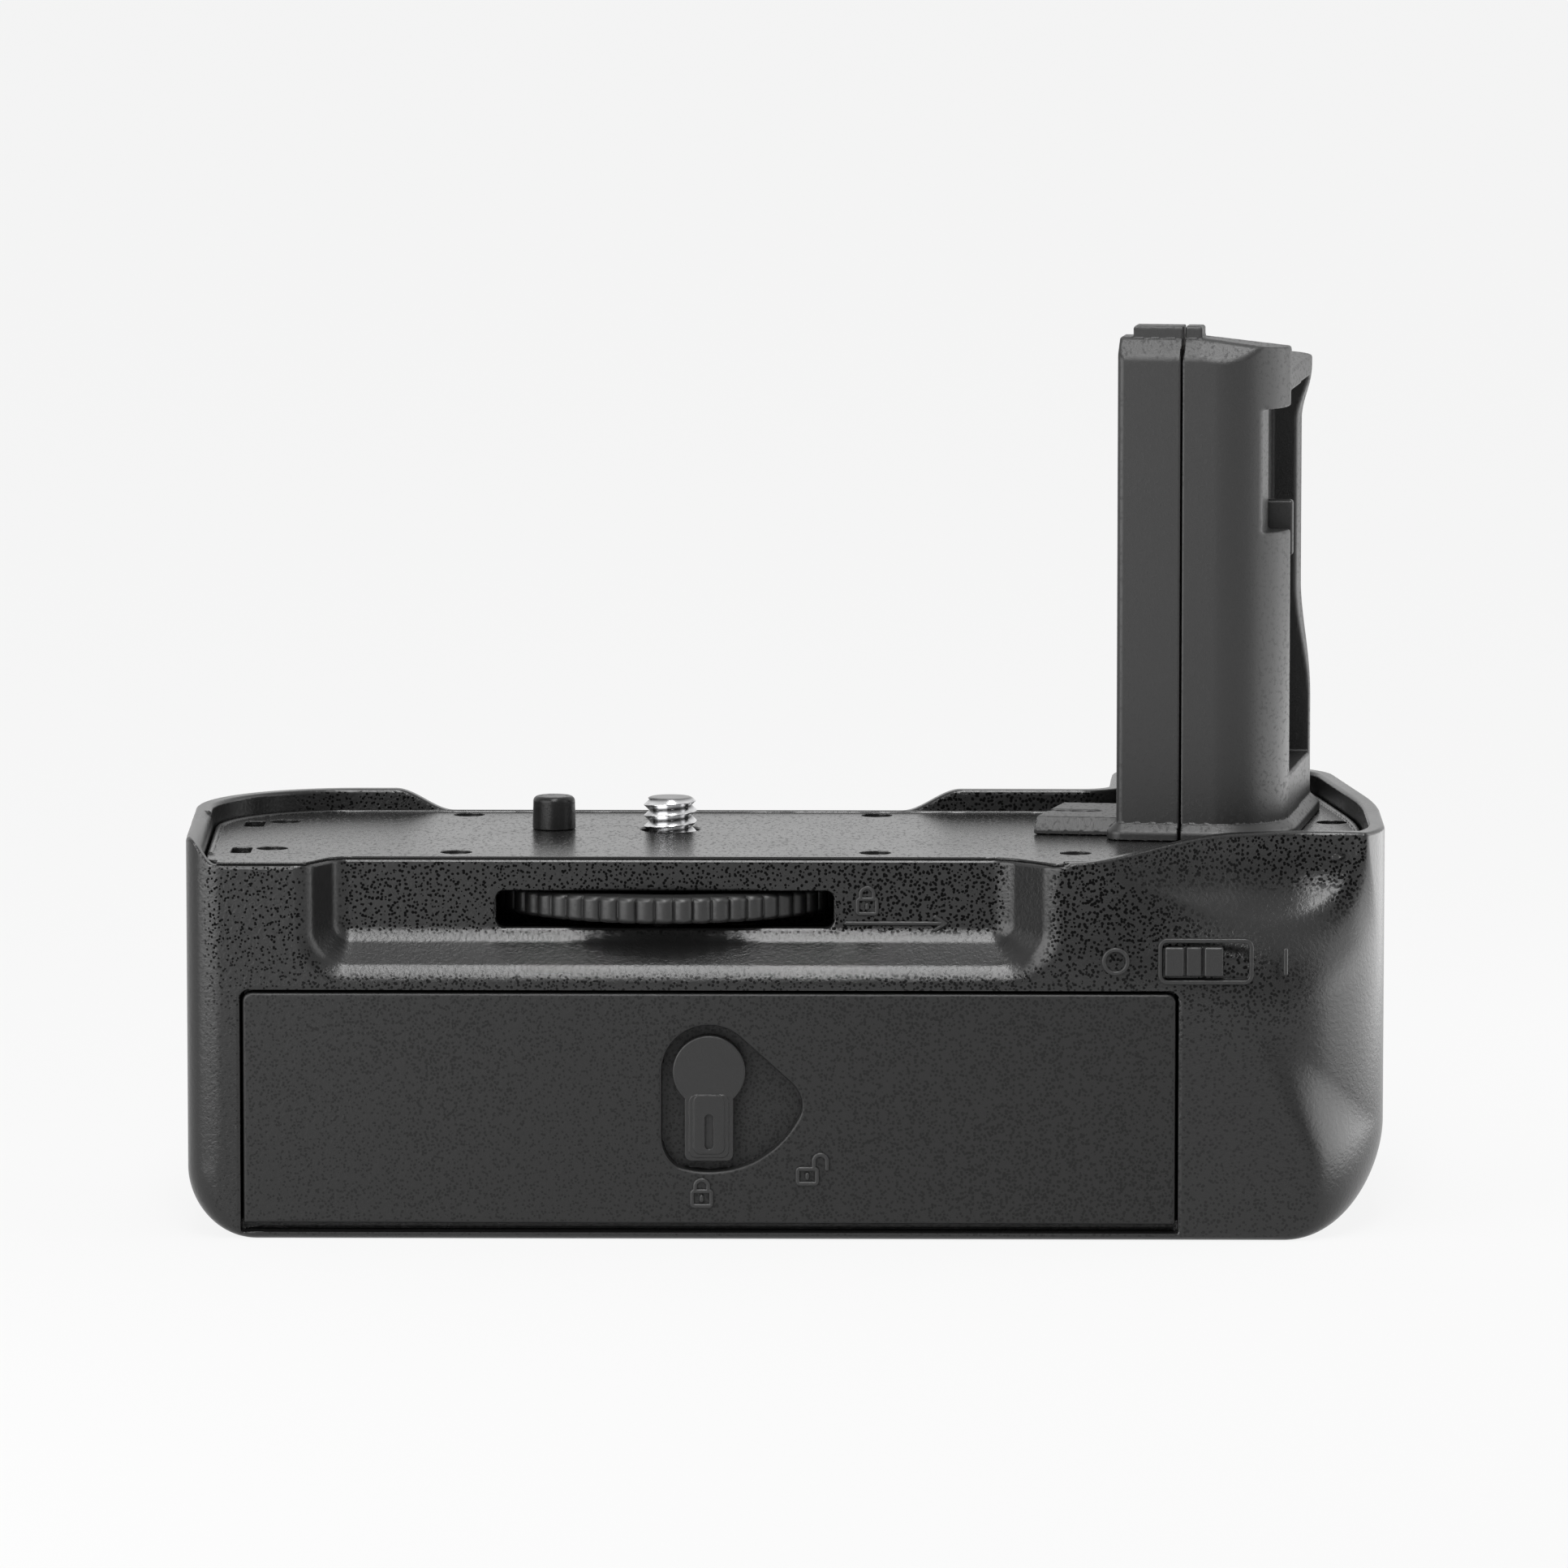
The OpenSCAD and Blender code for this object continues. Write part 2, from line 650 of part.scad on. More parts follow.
module main_housing() {
    switch_left = knob_x - stem_w / 2 - slide;
    switch_right = knob_x + stem_w / 2 + switch_travel + slide;
    color(dark)
    difference() {
        union() {
            difference() {
                body(0, 0, rim_top);
                difference() {
                    body(wall, floor_t, rim_top + cut);
                    pocket(wall);
                    thumb_scoop(wall);
                }
            }
            for (p = wall_screws) {
                translate([p.x, p.y, pocket_floor - wall])
                    cylinder(h = deck_under - touch - pocket_floor + wall, r = post_r);
            }
            for (p = [[-ds_x, ds_front], [ds_x, ds_front]]) {
                box(p.x - shank_r, p.x + shank_r, p.y, body_front - wall / 2, pocket_floor - wall,
                    deck_under - touch);
            }
            box(body_right - ds_end_in, body_right - wall / 2, ds_end_y - shank_r, ds_end_y + shank_r,
                pocket_floor - wall, deck_under - touch);
            for (s = [-1, 1]) {
                translate([switch_x + s * (module_w / 2 + wall), -body_rear + wall / 2, switch_z])
                    rotate([-90, 0, 0]) cylinder(h = 2 * wall, r = shank_r + wall / 4);
            }
        }
        pocket(0);
        thumb_scoop(0);
        rim_cuts();
        through(-body_rear - cut, -body_rear + wall + cut)
            rounded([[-door_l - door_gap, lip], [door_r + door_gap, lip],
                [door_r + door_gap, door_high + door_gap], [-door_l - door_gap, door_high + door_gap]],
                [0, 0, door_r_corner, door_r_corner]);
        through(pocket_back - cut, pocket_back + wall + cut)
            rounded([[-slot_half, wheel_low - slot_gap], [slot_half, wheel_low - slot_gap],
                [slot_half, wheel_top + slot_gap], [-slot_half, wheel_top + slot_gap]], [1, 1, 1, 1]);
        through(-body_rear - cut, -body_rear + switch_depth)
            rounded([[switch_x - switch_w / 2, switch_z - switch_h / 2],
                [switch_x + switch_w / 2, switch_z - switch_h / 2],
                [switch_x + switch_w / 2, switch_z + switch_h / 2],
                [switch_x - switch_w / 2, switch_z + switch_h / 2]], [slide, slide, slide, slide]);
        box(switch_left, switch_right, -body_rear, -body_rear + wall + slide, switch_z - stem_h / 2 - slide,
            switch_z + stem_h / 2 + slide);
        intersection() {
            difference() {
                rubber_zone(touch);
                linear_extrude(rim_top) plan(rubber_t + touch);
            }
            rubber_zone(touch);
        }
        for (p = wall_screws) {
            translate([p.x, p.y, deck_under - head_h - shank_l])
                cylinder(h = shank_l + head_h, r = shank_r + touch);
        }
        for (p = base_screws_at) {
            translate([p.x, p.y, 0]) rotate([180, 0, 0]) screw_seat(floor_t + cut);
        }
        translate([0, 0, -cut]) cylinder(h = floor_t + 2 * cut, r = socket_r + touch);
    }
}

module grip_rubber() {
    color(darker)
    intersection() {
        difference() {
            body(0, 0, rim_top);
            translate([0, 0, -cut]) linear_extrude(rim_top + 2 * cut) plan(rubber_t);
        }
        rubber_zone(0);
    }
}

module top_deck() {
    d = wall + deck_gap;
    color(dark)
    difference() {
        union() {
            difference() {
                translate([0, 0, deck_under]) linear_extrude(deck_t) plan(d);
                pocket(d);
                thumb_scoop(d);
            }
            difference() {
                translate([0, 0, deck_z - deck_edge]) linear_extrude(deck_edge) intersection() {
                    plan(deck_lip);
                    translate([rim_start + deck_gap, -body_rear])
                        square([rim_flat_r - rim_start - 2 * deck_gap, body_rear + scoop_y]);
                }
                pocket(deck_lip);
                thumb_scoop(deck_lip);
            }
        }
        translate([0, 0, deck_under - cut]) cylinder(h = deck_t + 2 * cut, r = screw_r + screw_hole);
        translate([-pin_x, 0, deck_under - cut]) cylinder(h = deck_t + 2 * cut, r = pin_neck + touch);
        for (p = concat(wall_screws, frame_screws)) {
            translate([p.x, p.y, deck_z]) screw_seat(deck_t + cut);
        }
        for (y = [slot_rear, slot_front]) {
            box(slot_in - body_left - slot_w / 2, slot_in - body_left + slot_w / 2, y - slot_l / 2,
                y + slot_l / 2, deck_under - cut, deck_z + cut);
        }
        in_stalk(-deck_t) {
            for (p = [foot_screw_l, foot_screw_r]) {
                translate([p.x, p.y, -cut]) cylinder(h = deck_t + 2 * cut, r = shank_r + touch);
            }
            box(lead_u - shank_r - touch, lead_u + shank_r + touch, lead_v - lead_w * 0.75,
                lead_v + lead_w * 0.75, -cut, deck_t + cut);
        }
    }
}

module deck_screws() {
    color(metal)
    for (p = concat(wall_screws, frame_screws)) {
        translate([p.x, p.y, deck_z]) screw(shank_l);
    }
}

module locating_pin() {
    stand = pin_h - touch;
    color(metal)
    translate([-pin_x, 0, deck_z + touch]) union() {
        rotate_extrude() {
            square([pin_r, stand - pin_edge]);
            square([pin_r - pin_edge, stand]);
            translate([pin_r - pin_edge, stand - pin_edge]) intersection() {
                circle(pin_edge);
                square(pin_edge);
            }
        }
        translate([0, 0, -deck_t - 2 * touch - thin])
            cylinder(h = deck_t + 2 * touch + 2 * thin, r = pin_neck);
        translate([0, 0, -deck_t - 2 * touch - pin_flange])
            cylinder(h = pin_flange, r = pin_r + pin_flange);
    }
}

module gear(r, shift) {
    step = 360 / gear_n;
    polygon([for (i = [0 : gear_n - 1]) let (a = (i + shift) * step) each [
        (r - gear_tooth * 1.2) * [cos(a - step * 0.27), sin(a - step * 0.27)],
        (r + gear_tooth * 0.8) * [cos(a - step * 0.11), sin(a - step * 0.11)],
        (r + gear_tooth * 0.8) * [cos(a + step * 0.11), sin(a + step * 0.11)],
        (r - gear_tooth * 1.2) * [cos(a + step * 0.27), sin(a + step * 0.27)]]]);
}

module camera_screw() {
    tip = deck_z + screw_h;
    foot = deck_z + touch;
    root = screw_r - thread_depth;
    land = screw_pitch / 2;
    turns = floor((tip - foot - land) / screw_pitch);
    color(metal)
    difference() {
        union() {
            translate([0, 0, foot]) cylinder(h = tip - foot - thread_depth, r = screw_r);
            translate([0, 0, tip - thread_depth]) cylinder(h = thread_depth, r1 = screw_r, r2 = root);
            translate([0, 0, gear_top + touch]) cylinder(h = foot - gear_top - touch + thin, r = root);
            translate([0, 0, gear_low]) cylinder(h = gear_top + touch - gear_low + thin, r = core_r);
        }
        for (i = [1 : turns]) {
            translate([0, 0, tip - thread_depth - i * screw_pitch + land / 2]) rotate_extrude()
                polygon([[root, 0], [screw_r + thin, -land / 2], [screw_r + thin, land / 2]]);
        }
    }
}

module screw_gear() {
    color(metal)
    difference() {
        translate([0, 0, gear_low]) linear_extrude(gear_top - gear_low) gear(gear_r, 0.25 * gear_n);
        translate([0, 0, gear_low - cut]) cylinder(h = gear_top - gear_low + 2 * cut, r = core_r + touch);
    }
}

module at_wheel(z) {
    translate([0, -wheel_back, z]) children();
}

module lock_wheel() {
    color(darker)
    at_wheel(wheel_low) difference() {
        linear_extrude(wheel_t) difference() {
            circle(wheel_r);
            for (i = [0 : groove_n - 1]) {
                rotate([0, 0, (i + 0.5) * 360 / groove_n]) translate([wheel_r, 0]) circle(groove_r);
            }
        }
        translate([0, 0, -cut]) cylinder(h = wheel_t + 2 * cut, r = axle_r + run);
    }
}

module wheel_gear() {
    color(metal)
    at_wheel(wheel_top + touch) difference() {
        union() {
            translate([0, 0, slide - touch]) linear_extrude(gear_top - gear_low)
                gear(gear_r, 0.25 * gear_n + 0.5);
            cylinder(h = slide, r = gear_r - gear_tooth * 1.3);
        }
        translate([0, 0, -cut]) cylinder(h = gear_top - wheel_top + 2 * cut, r = axle_r + run);
    }
}

module wheel_axle() {
    foot = roof_top + touch;
    shoulder = wheel_low - washer_t - slide;
    color(metal)
    at_wheel(0) {
        translate([0, 0, foot]) cylinder(h = deck_under - touch - foot, r = axle_r);
        translate([0, 0, foot]) cylinder(h = shoulder - foot, r = axle_r * 1.6);
        translate([0, 0, foot]) cylinder(h = wall, r = axle_r * 2.2);
    }
}

module wheel_washer() {
    color(metal)
    at_wheel(wheel_low - washer_t - slide + touch) difference() {
        cylinder(h = washer_t, r = axle_r * 1.9);
        translate([0, 0, -cut]) cylinder(h = washer_t + 2 * cut, r = axle_r + touch);
    }
}

module bay_frame() {
    foot = floor_t + slide;
    window = blade_step * 2;
    color(darker)
    difference() {
        union() {
            difference() {
                intersection() {
                    box(-frame_l, frame_r, frame_front, frame_back, foot, roof_top);
                    body(wall + touch, floor_t + touch, deck_under);
                }
                box(frame_wall - frame_l, frame_r - frame_wall, frame_front - cut, frame_back - frame_wall,
                    foot - cut, roof_low);
                pocket(wall + touch);
                thumb_scoop(wall + touch);
            }
            for (s = [-1, 1]) {
                edge = s < 0 ? -frame_l + thin : frame_r - frame_wall - rail_in - thin;
                intersection() {
                    box(edge, edge + rail_in + frame_wall, frame_front, frame_back - thin,
                        tray_floor - slide - rail_h, tray_floor - slide);
                    body(wall + 2 * touch, floor_t, deck_under);
                }
            }
            for (p = frame_screws) {
                translate([p.x, p.y, roof_top - thin])
                    cylinder(h = deck_under - touch - roof_top + thin, r = post_r);
            }
            for (p = board_holes) {
                translate([p.x, p.y, roof_top - thin]) cylinder(h = peg_h - touch + thin, r = 2 * shank_r);
            }
        }
        for (p = frame_screws) {
            translate([p.x, p.y, deck_under - head_h - shank_l])
                cylinder(h = shank_l + 2 * head_h, r = shank_r + touch);
        }
        for (p = board_holes) {
            translate([p.x, p.y, roof_top + head_h]) cylinder(h = peg_h, r = shank_r + touch);
        }
        box(tray_mid - window, tray_mid + window, frame_back - frame_wall - cut, frame_back + cut,
            bay_low + blade_h, bay_low + blade_h * 4);
    }
}

module contact_block() {
    window = blade_step * 2 - touch;
    color(dark)
    box(tray_mid - window, tray_mid + window, frame_back - frame_wall, frame_back, bay_low + blade_h + touch,
        bay_low + blade_h * 4 - touch);
}

module bay_contacts() {
    color(gold)
    for (i = [-1.5 : 1 : 1.5]) {
        box(tray_mid + i * blade_step - blade_h / 2, tray_mid + i * blade_step + blade_h / 2,
            tray_back + blade_t + slide, frame_back - frame_wall - touch, bay_low + blade_h * 1.5,
            bay_low + blade_h * 3.5);
    }
}

module base_plate() {
    color(metal)
    difference() {
        box(-base_w, base_w, -base_d, base_d, floor_t + touch, floor_t + touch + base_t);
        cylinder(h = socket_h, r = socket_r + touch);
        for (p = base_screws_at) {
            translate([p.x, p.y, 0]) cylinder(h = socket_h, r = shank_r + touch);
        }
    }
}

module tripod_socket() {
    seat = floor_t + touch + base_t + touch;
    color(metal)
    difference() {
        union() {
            cylinder(h = socket_h, r = socket_r);
            translate([0, 0, seat]) cylinder(h = wall / 2, r = socket_r + wall);
        }
        translate([0, 0, -cut]) cylinder(h = socket_h + 2 * cut, r = screw_r);
    }
}

module base_screws() {
    color(metal)
    for (p = base_screws_at) {
        translate([p.x, p.y, 0]) rotate([180, 0, 0]) screw(floor_t + base_t - head_h);
    }
}

module stalk_outline(d) {
    rounded([[0, 0], [stalk_w, 0], [stalk_w, stalk_d], [0, stalk_d]],
        [stalk_wall / 2, stalk_r, stalk_r, stalk_wall / 2], d);
}

// High part of the stalk's top, with the raised block at its left
module stalk_solid() {
    chamfer = top_chamfer * sqrt(2);
    block_v = top_chamfer + seam_w;
    difference() {
        union() {
            linear_extrude(stalk_h) stalk_outline(0);
            translate([0, 0, stalk_h - thin]) linear_extrude(block_h + thin)
                polygon([[stalk_wall, block_v], [block_w, block_v], [block_w + block_h, block_v + block_d],
                    [stalk_wall, block_v + block_d]]);
        }
        translate([0, 0, stalk_h - step_h]) linear_extrude(step_h + block_h + cut) difference() {
            translate([-cut, 0]) square([stalk_w + 2 * cut, stalk_d + cut]);
            polygon([[-2 * cut, -cut], [stalk_w + 2 * cut, -cut], [stalk_w + 2 * cut, high_edge],
                [high_u, ridge_d], [-2 * cut, ridge_d]]);
        }
        translate([-cut, 0, stalk_h]) rotate([45, 0, 0])
            translate([0, -chamfer / 2, -chamfer / 2]) cube([stalk_w + 2 * cut, chamfer, chamfer]);
    }
}

module collar() {
    hull() {
        linear_extrude(collar_h / 2) stalk_outline(-collar_out);
        linear_extrude(collar_h) stalk_outline(-thin);
    }
}

module stalk_hollow(u0, u1) {
    intersection() {
        translate([0, 0, -cut]) linear_extrude(top_low + cut) stalk_outline(stalk_wall);
        box(u0, u1, 0, stalk_d, -2 * cut, stalk_h);
    }
}

module foot_post(p) {
    translate([p.x, p.y, 0]) cylinder(h = foot_l_up + post_r, r = post_r);
}

module foot_hole(p) {
    translate([p.x, p.y, -cut]) cylinder(h = foot_l_up + 2 * cut, r = shank_r + touch);
}

module foot_tab() {
    near = tab_start;
    tip = -tab_reach;
    tail = tip + tab_depth / 10;
    difference() {
        linear_extrude(collar_h)
            polygon([[tip, near], [stalk_wall / 2, near], [stalk_wall / 2, near + tab_depth],
                [tail, near + tab_depth]]);
        translate([tip - cut, near, collar_h]) rotate([45, 0, 0])
            translate([0, -collar_h / 2, -collar_h / 2])
                cube([tab_reach + cut - collar_out / 2, collar_h, collar_h]);
        translate([0, near + tab_depth / 2, collar_h / 3]) linear_extrude(collar_h) {
            translate([tip - cut, -tab_slot_w / 2]) square([tab_slot_l + cut, tab_slot_w]);
            translate([tip + tab_slot_l, 0]) circle(tab_slot_w / 2);
        }
    }
}

module stalk_left_shell() {
    edge = seam_u - seam_w / 2;
    color(dark)
    in_stalk(touch) difference() {
        union() {
            difference() {
                union() {
                    stalk_solid();
                    collar();
                    foot_tab();
                }
                stalk_hollow(0, stalk_w);
            }
            intersection() {
                foot_post(foot_screw_l);
                linear_extrude(stalk_h) stalk_outline(stalk_wall / 2);
            }
        }
        foot_hole(foot_screw_l);
        box(edge, stalk_w * 2, -stalk_d, stalk_d * 2, -cut, stalk_h * 2);
    }
}

module stalk_right_shell() {
    edge = seam_u + seam_w / 2;
    color(dark)
    in_stalk(touch) difference() {
        union() {
            difference() {
                union() {
                    stalk_solid();
                    collar();
                }
                stalk_hollow(0, stalk_inner);
            }
            intersection() {
                union() {
                    foot_post(foot_screw_r);
                    box(foot_screw_r.x, store_u, foot_screw_r.y - shank_r, foot_screw_r.y + shank_r, 0,
                        foot_l_up + post_r);
                }
                linear_extrude(stalk_h) stalk_outline(stalk_wall / 2);
            }
        }
        foot_hole(foot_screw_r);
        box(-stalk_w, edge, -stalk_d, stalk_d * 2, -cut, stalk_h * 2);
        box(store_u, stalk_w * 2, store_near, stalk_d - store_far, store_low, store_top);
        translate([0, stalk_d - store_far + stalk_d, 0]) rotate([90, 0, 0]) linear_extrude(stalk_d + cut)
            polygon([[stalk_w + cut, lip_scoop_low], [stalk_w, lip_scoop_low],
                [stalk_w - lip_scoop, lip_scoop_low + lip_scoop_run],
                [stalk_w - lip_scoop, stalk_h - lip_scoop_high - lip_scoop_run / 2],
                [stalk_w, stalk_h - lip_scoop_high], [stalk_w + cut, stalk_h - lip_scoop_high]]);
        box(stalk_w - window_in, stalk_w * 2, -cut, store_near + cut, stalk_h - window_drop - window_h,
            stalk_h - window_drop);
    }
}

module stalk_clip() {
    low = stalk_h - window_drop - window_h - clip_h / 2;
    color(darker)
    in_stalk(touch)
        translate([store_u + touch, store_near + clip_t, low]) difference() {
            cube([clip_reach, clip_t, clip_h]);
            translate([clip_reach, -cut, clip_h]) rotate([0, 45, 0])
                translate([-clip_t / 2, 0, -clip_t / 2]) cube([clip_t, clip_t + 2 * cut, clip_t]);
        }
}

module terminal_block() {
    color(darker)
    in_stalk(touch + stalk_h - step_h + touch) difference() {
        box(2 * stalk_wall, stalk_w - 2 * stalk_wall, term_near, term_far, 0, step_h / 4);
        for (i = [-1.5 : 1 : 1.5]) {
            box(stalk_w / 2 + i * blade_step * 0.7 - blade_t, stalk_w / 2 + i * blade_step * 0.7 + blade_t,
                term_near + stalk_wall, term_far - stalk_wall, step_h / 12, step_h);
        }
    }
}

module stalk_terminals() {
    color(gold)
    in_stalk(touch + stalk_h - step_h + touch)
        for (i = [-1.5 : 1 : 1.5]) {
            box(stalk_w / 2 + i * blade_step * 0.7 - blade_t + touch,
                stalk_w / 2 + i * blade_step * 0.7 + blade_t - touch, term_near + stalk_wall + touch,
                term_far - stalk_wall - touch, step_h / 12 + touch, step_h * 0.3);
        }
}

module stalk_screws() {
    color(metal)
    in_stalk(-deck_t - touch)
        for (p = [foot_screw_l, foot_screw_r]) {
            translate([p.x, p.y, -shank_r]) cylinder(h = shank_r, r = foot_head);
            translate([p.x, p.y, -thin]) cylinder(h = deck_t + foot_l_up, r = shank_r);
        }
}

module ribbon_cable() {
    flat = board_low + board_t + touch;
    x0 = board_x + board_w / 2;
    up = deck_z + top_low - touch;
    low_end = stalk_x + lead_u * cos(stalk_yaw) + lead_v * sin(stalk_yaw);
    mid_y = stalk_y + lead_v * cos(stalk_yaw) - lead_u * sin(stalk_yaw);
    color(darker)
    union() {
        box(x0, low_end + lead_t, mid_y - lead_w / 2, mid_y + lead_w / 2, flat, flat + lead_t);
        translate([low_end, mid_y, flat]) box(-lead_t / 2, lead_t, -lead_w / 2, lead_w / 2, 0, up - flat);
    }
}

module circuit_board() {
    color(green)
    difference() {
        box(board_x, board_x + board_w, board_y, board_y + board_d, board_low, board_low + board_t);
        for (p = board_holes) {
            translate([p.x, p.y, board_low - cut]) cylinder(h = board_t + 2 * cut, r = shank_r + touch);
        }
    }
}

module board_screws() {
    color(metal)
    for (p = board_holes) {
        translate([p.x, p.y, board_low + board_t + touch]) {
            cylinder(h = head_h, r = head_r);
            translate([0, 0, -board_t - peg_h / 2]) cylinder(h = board_t + peg_h / 2 + thin, r = shank_r);
        }
    }
}

module switch_module() {
    seat = -body_rear + 2.5 * wall + touch;
    ear = module_w / 2 + 2 * wall;
    up = switch_h / 2 - slide;
    color(metal)
    union() {
        box(switch_x - ear, switch_x + ear, seat, seat + wall / 2, switch_z - up, switch_z + up);
        box(switch_x - module_w / 2, switch_x + module_w / 2, seat, seat + module_d, switch_z - up,
            switch_z + up);
    }
}

module switch_knob() {
    floor_y = -body_rear + switch_depth;
    inner = -body_rear + wall + slide / 2;
    plate = wall / 2;
    rib = knob_w / 4;
    color(darker)
    translate([knob_x, 0, switch_z]) union() {
        box(-knob_w / 2, knob_w / 2, floor_y - knob_t * 0.55, floor_y - slide / 3, -knob_h / 2, knob_h / 2);
        for (s = [-1, 1]) {
            box(s * (knob_w / 2 - rib / 2) - rib / 2, s * (knob_w / 2 - rib / 2) + rib / 2, floor_y - knob_t,
                floor_y - slide, -knob_h / 2, knob_h / 2);
        }
        box(-rib / 2, rib / 2, floor_y - knob_t * 0.85, floor_y - slide, -knob_h / 3, knob_h / 3);
        box(-stem_w / 2, stem_w / 2, floor_y - slide, -body_rear + 2.5 * wall - slide, -stem_h / 2,
            stem_h / 2);
        box(-knob_w / 2, knob_w / 2, inner, inner + plate, -knob_h / 2, knob_h / 2);
    }
}

// Drawing of the latch pocket round its pivot, grown by d
module latch_pocket(d) {
    r = latch_pocket_r + d;
    l = latch_pocket_l + d;
    t = 90 - latch_swing + 1;
    union() {
        circle(r + thin);
        intersection() {
            circle(l);
            polygon([[0, 0], [-r, 0], [-r, -2 * l], [2 * l, -2 * l],
                r * [sin(t), cos(t)] + 2 * l * [cos(t), -sin(t)], r * [sin(t), cos(t)]]);
        }
    }
}

module at_latch(y0, y1) {
    translate([latch_x, 0, latch_z]) through(y0, y1) children();
}

function tray_screw_at() = [for (x = [-tray_l + 4 * post_r, tray_r - 4 * post_r],
    z = [bay_low + post_r, tray_high - 2 * post_r]) [x, z]];

module tray_front() {
    color(dark)
    difference() {
        union() {
            through(-body_rear, door_back)
                rounded([[-door_l, door_low], [door_r, door_low], [door_r, door_high], [-door_l, door_high]],
                    [0, 0, door_r_corner, door_r_corner]);
            intersection() {
                at_latch(door_back - thin, door_back + latch_floor) latch_pocket(1);
                box(-door_l, door_r, -body_rear, door_back + latch_floor, door_low, tray_high);
            }
            for (p = tray_screw_at()) {
                translate([p.x, 0, p.y]) through(door_back - thin, tray_front_y - touch) circle(post_r);
            }
        }
        at_latch(-body_rear - cut, door_back) latch_pocket(0);
        at_latch(-body_rear, door_back + latch_floor + cut) circle(latch_shaft + run);
        for (p = tray_screw_at()) {
            translate([p.x, 0, p.y]) through(door_back, tray_front_y + cut) circle(shank_r + touch);
        }
    }
}

module tray_frame() {
    color(darker)
    difference() {
        intersection() {
            box(-tray_l, tray_r, tray_front_y, tray_back, tray_floor, tray_high);
            linear_extrude(deck_z) plan(wall + slide);
        }
        box(-tray_l + tray_wall, -tray_l + tray_wall + bay_w, bay_front, bay_back, bay_low, tray_high + cut);
        box(tray_r - tray_wall - bay_w, tray_r - tray_wall, bay_front, bay_back, bay_low, tray_high + cut);
        for (p = tray_screw_at()) {
            translate([p.x, bay_front, p.y]) rotate([-90, 0, 0]) screw_seat(tray_wall + cut);
        }
    }
}

module tray_contacts() {
    mid_z = (bay_low + tray_high) / 2;
    color(gold)
    union() {
        for (s = [-1, 1], i = [-1, 0, 1]) {
            face = tray_mid + s * (divider / 2 + touch);
            box(min(face, face + s * blade_t), max(face, face + s * blade_t), bay_back - blade_l,
                bay_back - touch, mid_z + i * blade_step - blade_h / 2, mid_z + i * blade_step + blade_h / 2);
        }
        for (i = [-1.5 : 1 : 1.5]) {
            translate([tray_mid + i * blade_step - blade_h / 2, tray_back + touch, bay_low + blade_h * 1.5])
                cube([blade_h, blade_t / 2, blade_h * 2]);
        }
    }
}

module tray_screws() {
    color(metal)
    for (p = tray_screw_at()) {
        translate([p.x, bay_front, p.y]) rotate([-90, 0, 0]) screw(tray_wall + wall / 2 - head_h);
    }
}

module latch_knob() {
    base = door_back - slide / 2;
    face = -body_rear + slide;
    color(dark)
    difference() {
        union() {
            at_latch(face, base) {
                circle(latch_r);
                rounded([[-latch_w / 2, -latch_l], [latch_w / 2, -latch_l], [latch_r * 0.9, 0],
                    [-latch_r * 0.9, 0]], [1, 1, 0, 0]);
            }
            at_latch(-body_rear, face + thin)
                rounded([[-latch_ridge / 2, -latch_ridge_l], [latch_ridge / 2, -latch_ridge_l],
                    [latch_ridge / 2, -latch_r / 2], [-latch_ridge / 2, -latch_r / 2]],
                    [slide, slide, slide, slide]);
            at_latch(base - thin, door_back + latch_floor + touch) circle(latch_shaft);
        }
        at_latch(-body_rear - cut, -body_rear + slide * 2)
            rounded([[-latch_ridge / 8, -latch_ridge_l * 0.9], [latch_ridge / 8, -latch_ridge_l * 0.9],
                [latch_ridge / 8, -latch_ridge_l * 0.53], [-latch_ridge / 8, -latch_ridge_l * 0.53]],
                [slide, slide, slide, slide]);
        at_latch(door_back - slide, door_back + latch_floor + cut) circle(shank_r * 0.7 + touch);
    }
}

module latch_tongue() {
    near = door_back + latch_floor + 2 * touch;
    color(metal)
    difference() {
        at_latch(near, near + tongue_t) {
            circle(latch_shaft * 1.6);
            translate([-tongue_w / 2, 0]) square([tongue_w, tongue_l]);
        }
        at_latch(near - cut, near + tongue_t + cut) circle(shank_r * 0.7 + touch);
    }
}

module latch_screw() {
    near = door_back + latch_floor + 2 * touch + tongue_t;
    color(metal)
    union() {
        at_latch(door_back, near + thin) circle(shank_r * 0.7);
        at_latch(near + touch, near + touch + slide / 2) circle(latch_shaft);
        at_latch(near, near + touch + thin) circle(shank_r * 0.7);
    }
}

main_housing();
grip_rubber();
top_deck();
deck_screws();
locating_pin();
camera_screw();
screw_gear();
lock_wheel();
wheel_gear();
wheel_axle();
wheel_washer();
bay_frame();
contact_block();
bay_contacts();
base_plate();
tripod_socket();
base_screws();
stalk_left_shell();
stalk_right_shell();
stalk_clip();
terminal_block();
stalk_terminals();
stalk_screws();
ribbon_cable();
circuit_board();
board_screws();
switch_module();
switch_knob();
tray_front();
tray_frame();
tray_contacts();
tray_screws();
latch_knob();
latch_tongue();
latch_screw();
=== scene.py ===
"""Finish of the camera battery grip: moulded shell, deck, stalk, wheel, tray, latch and switch on the fixed frame."""

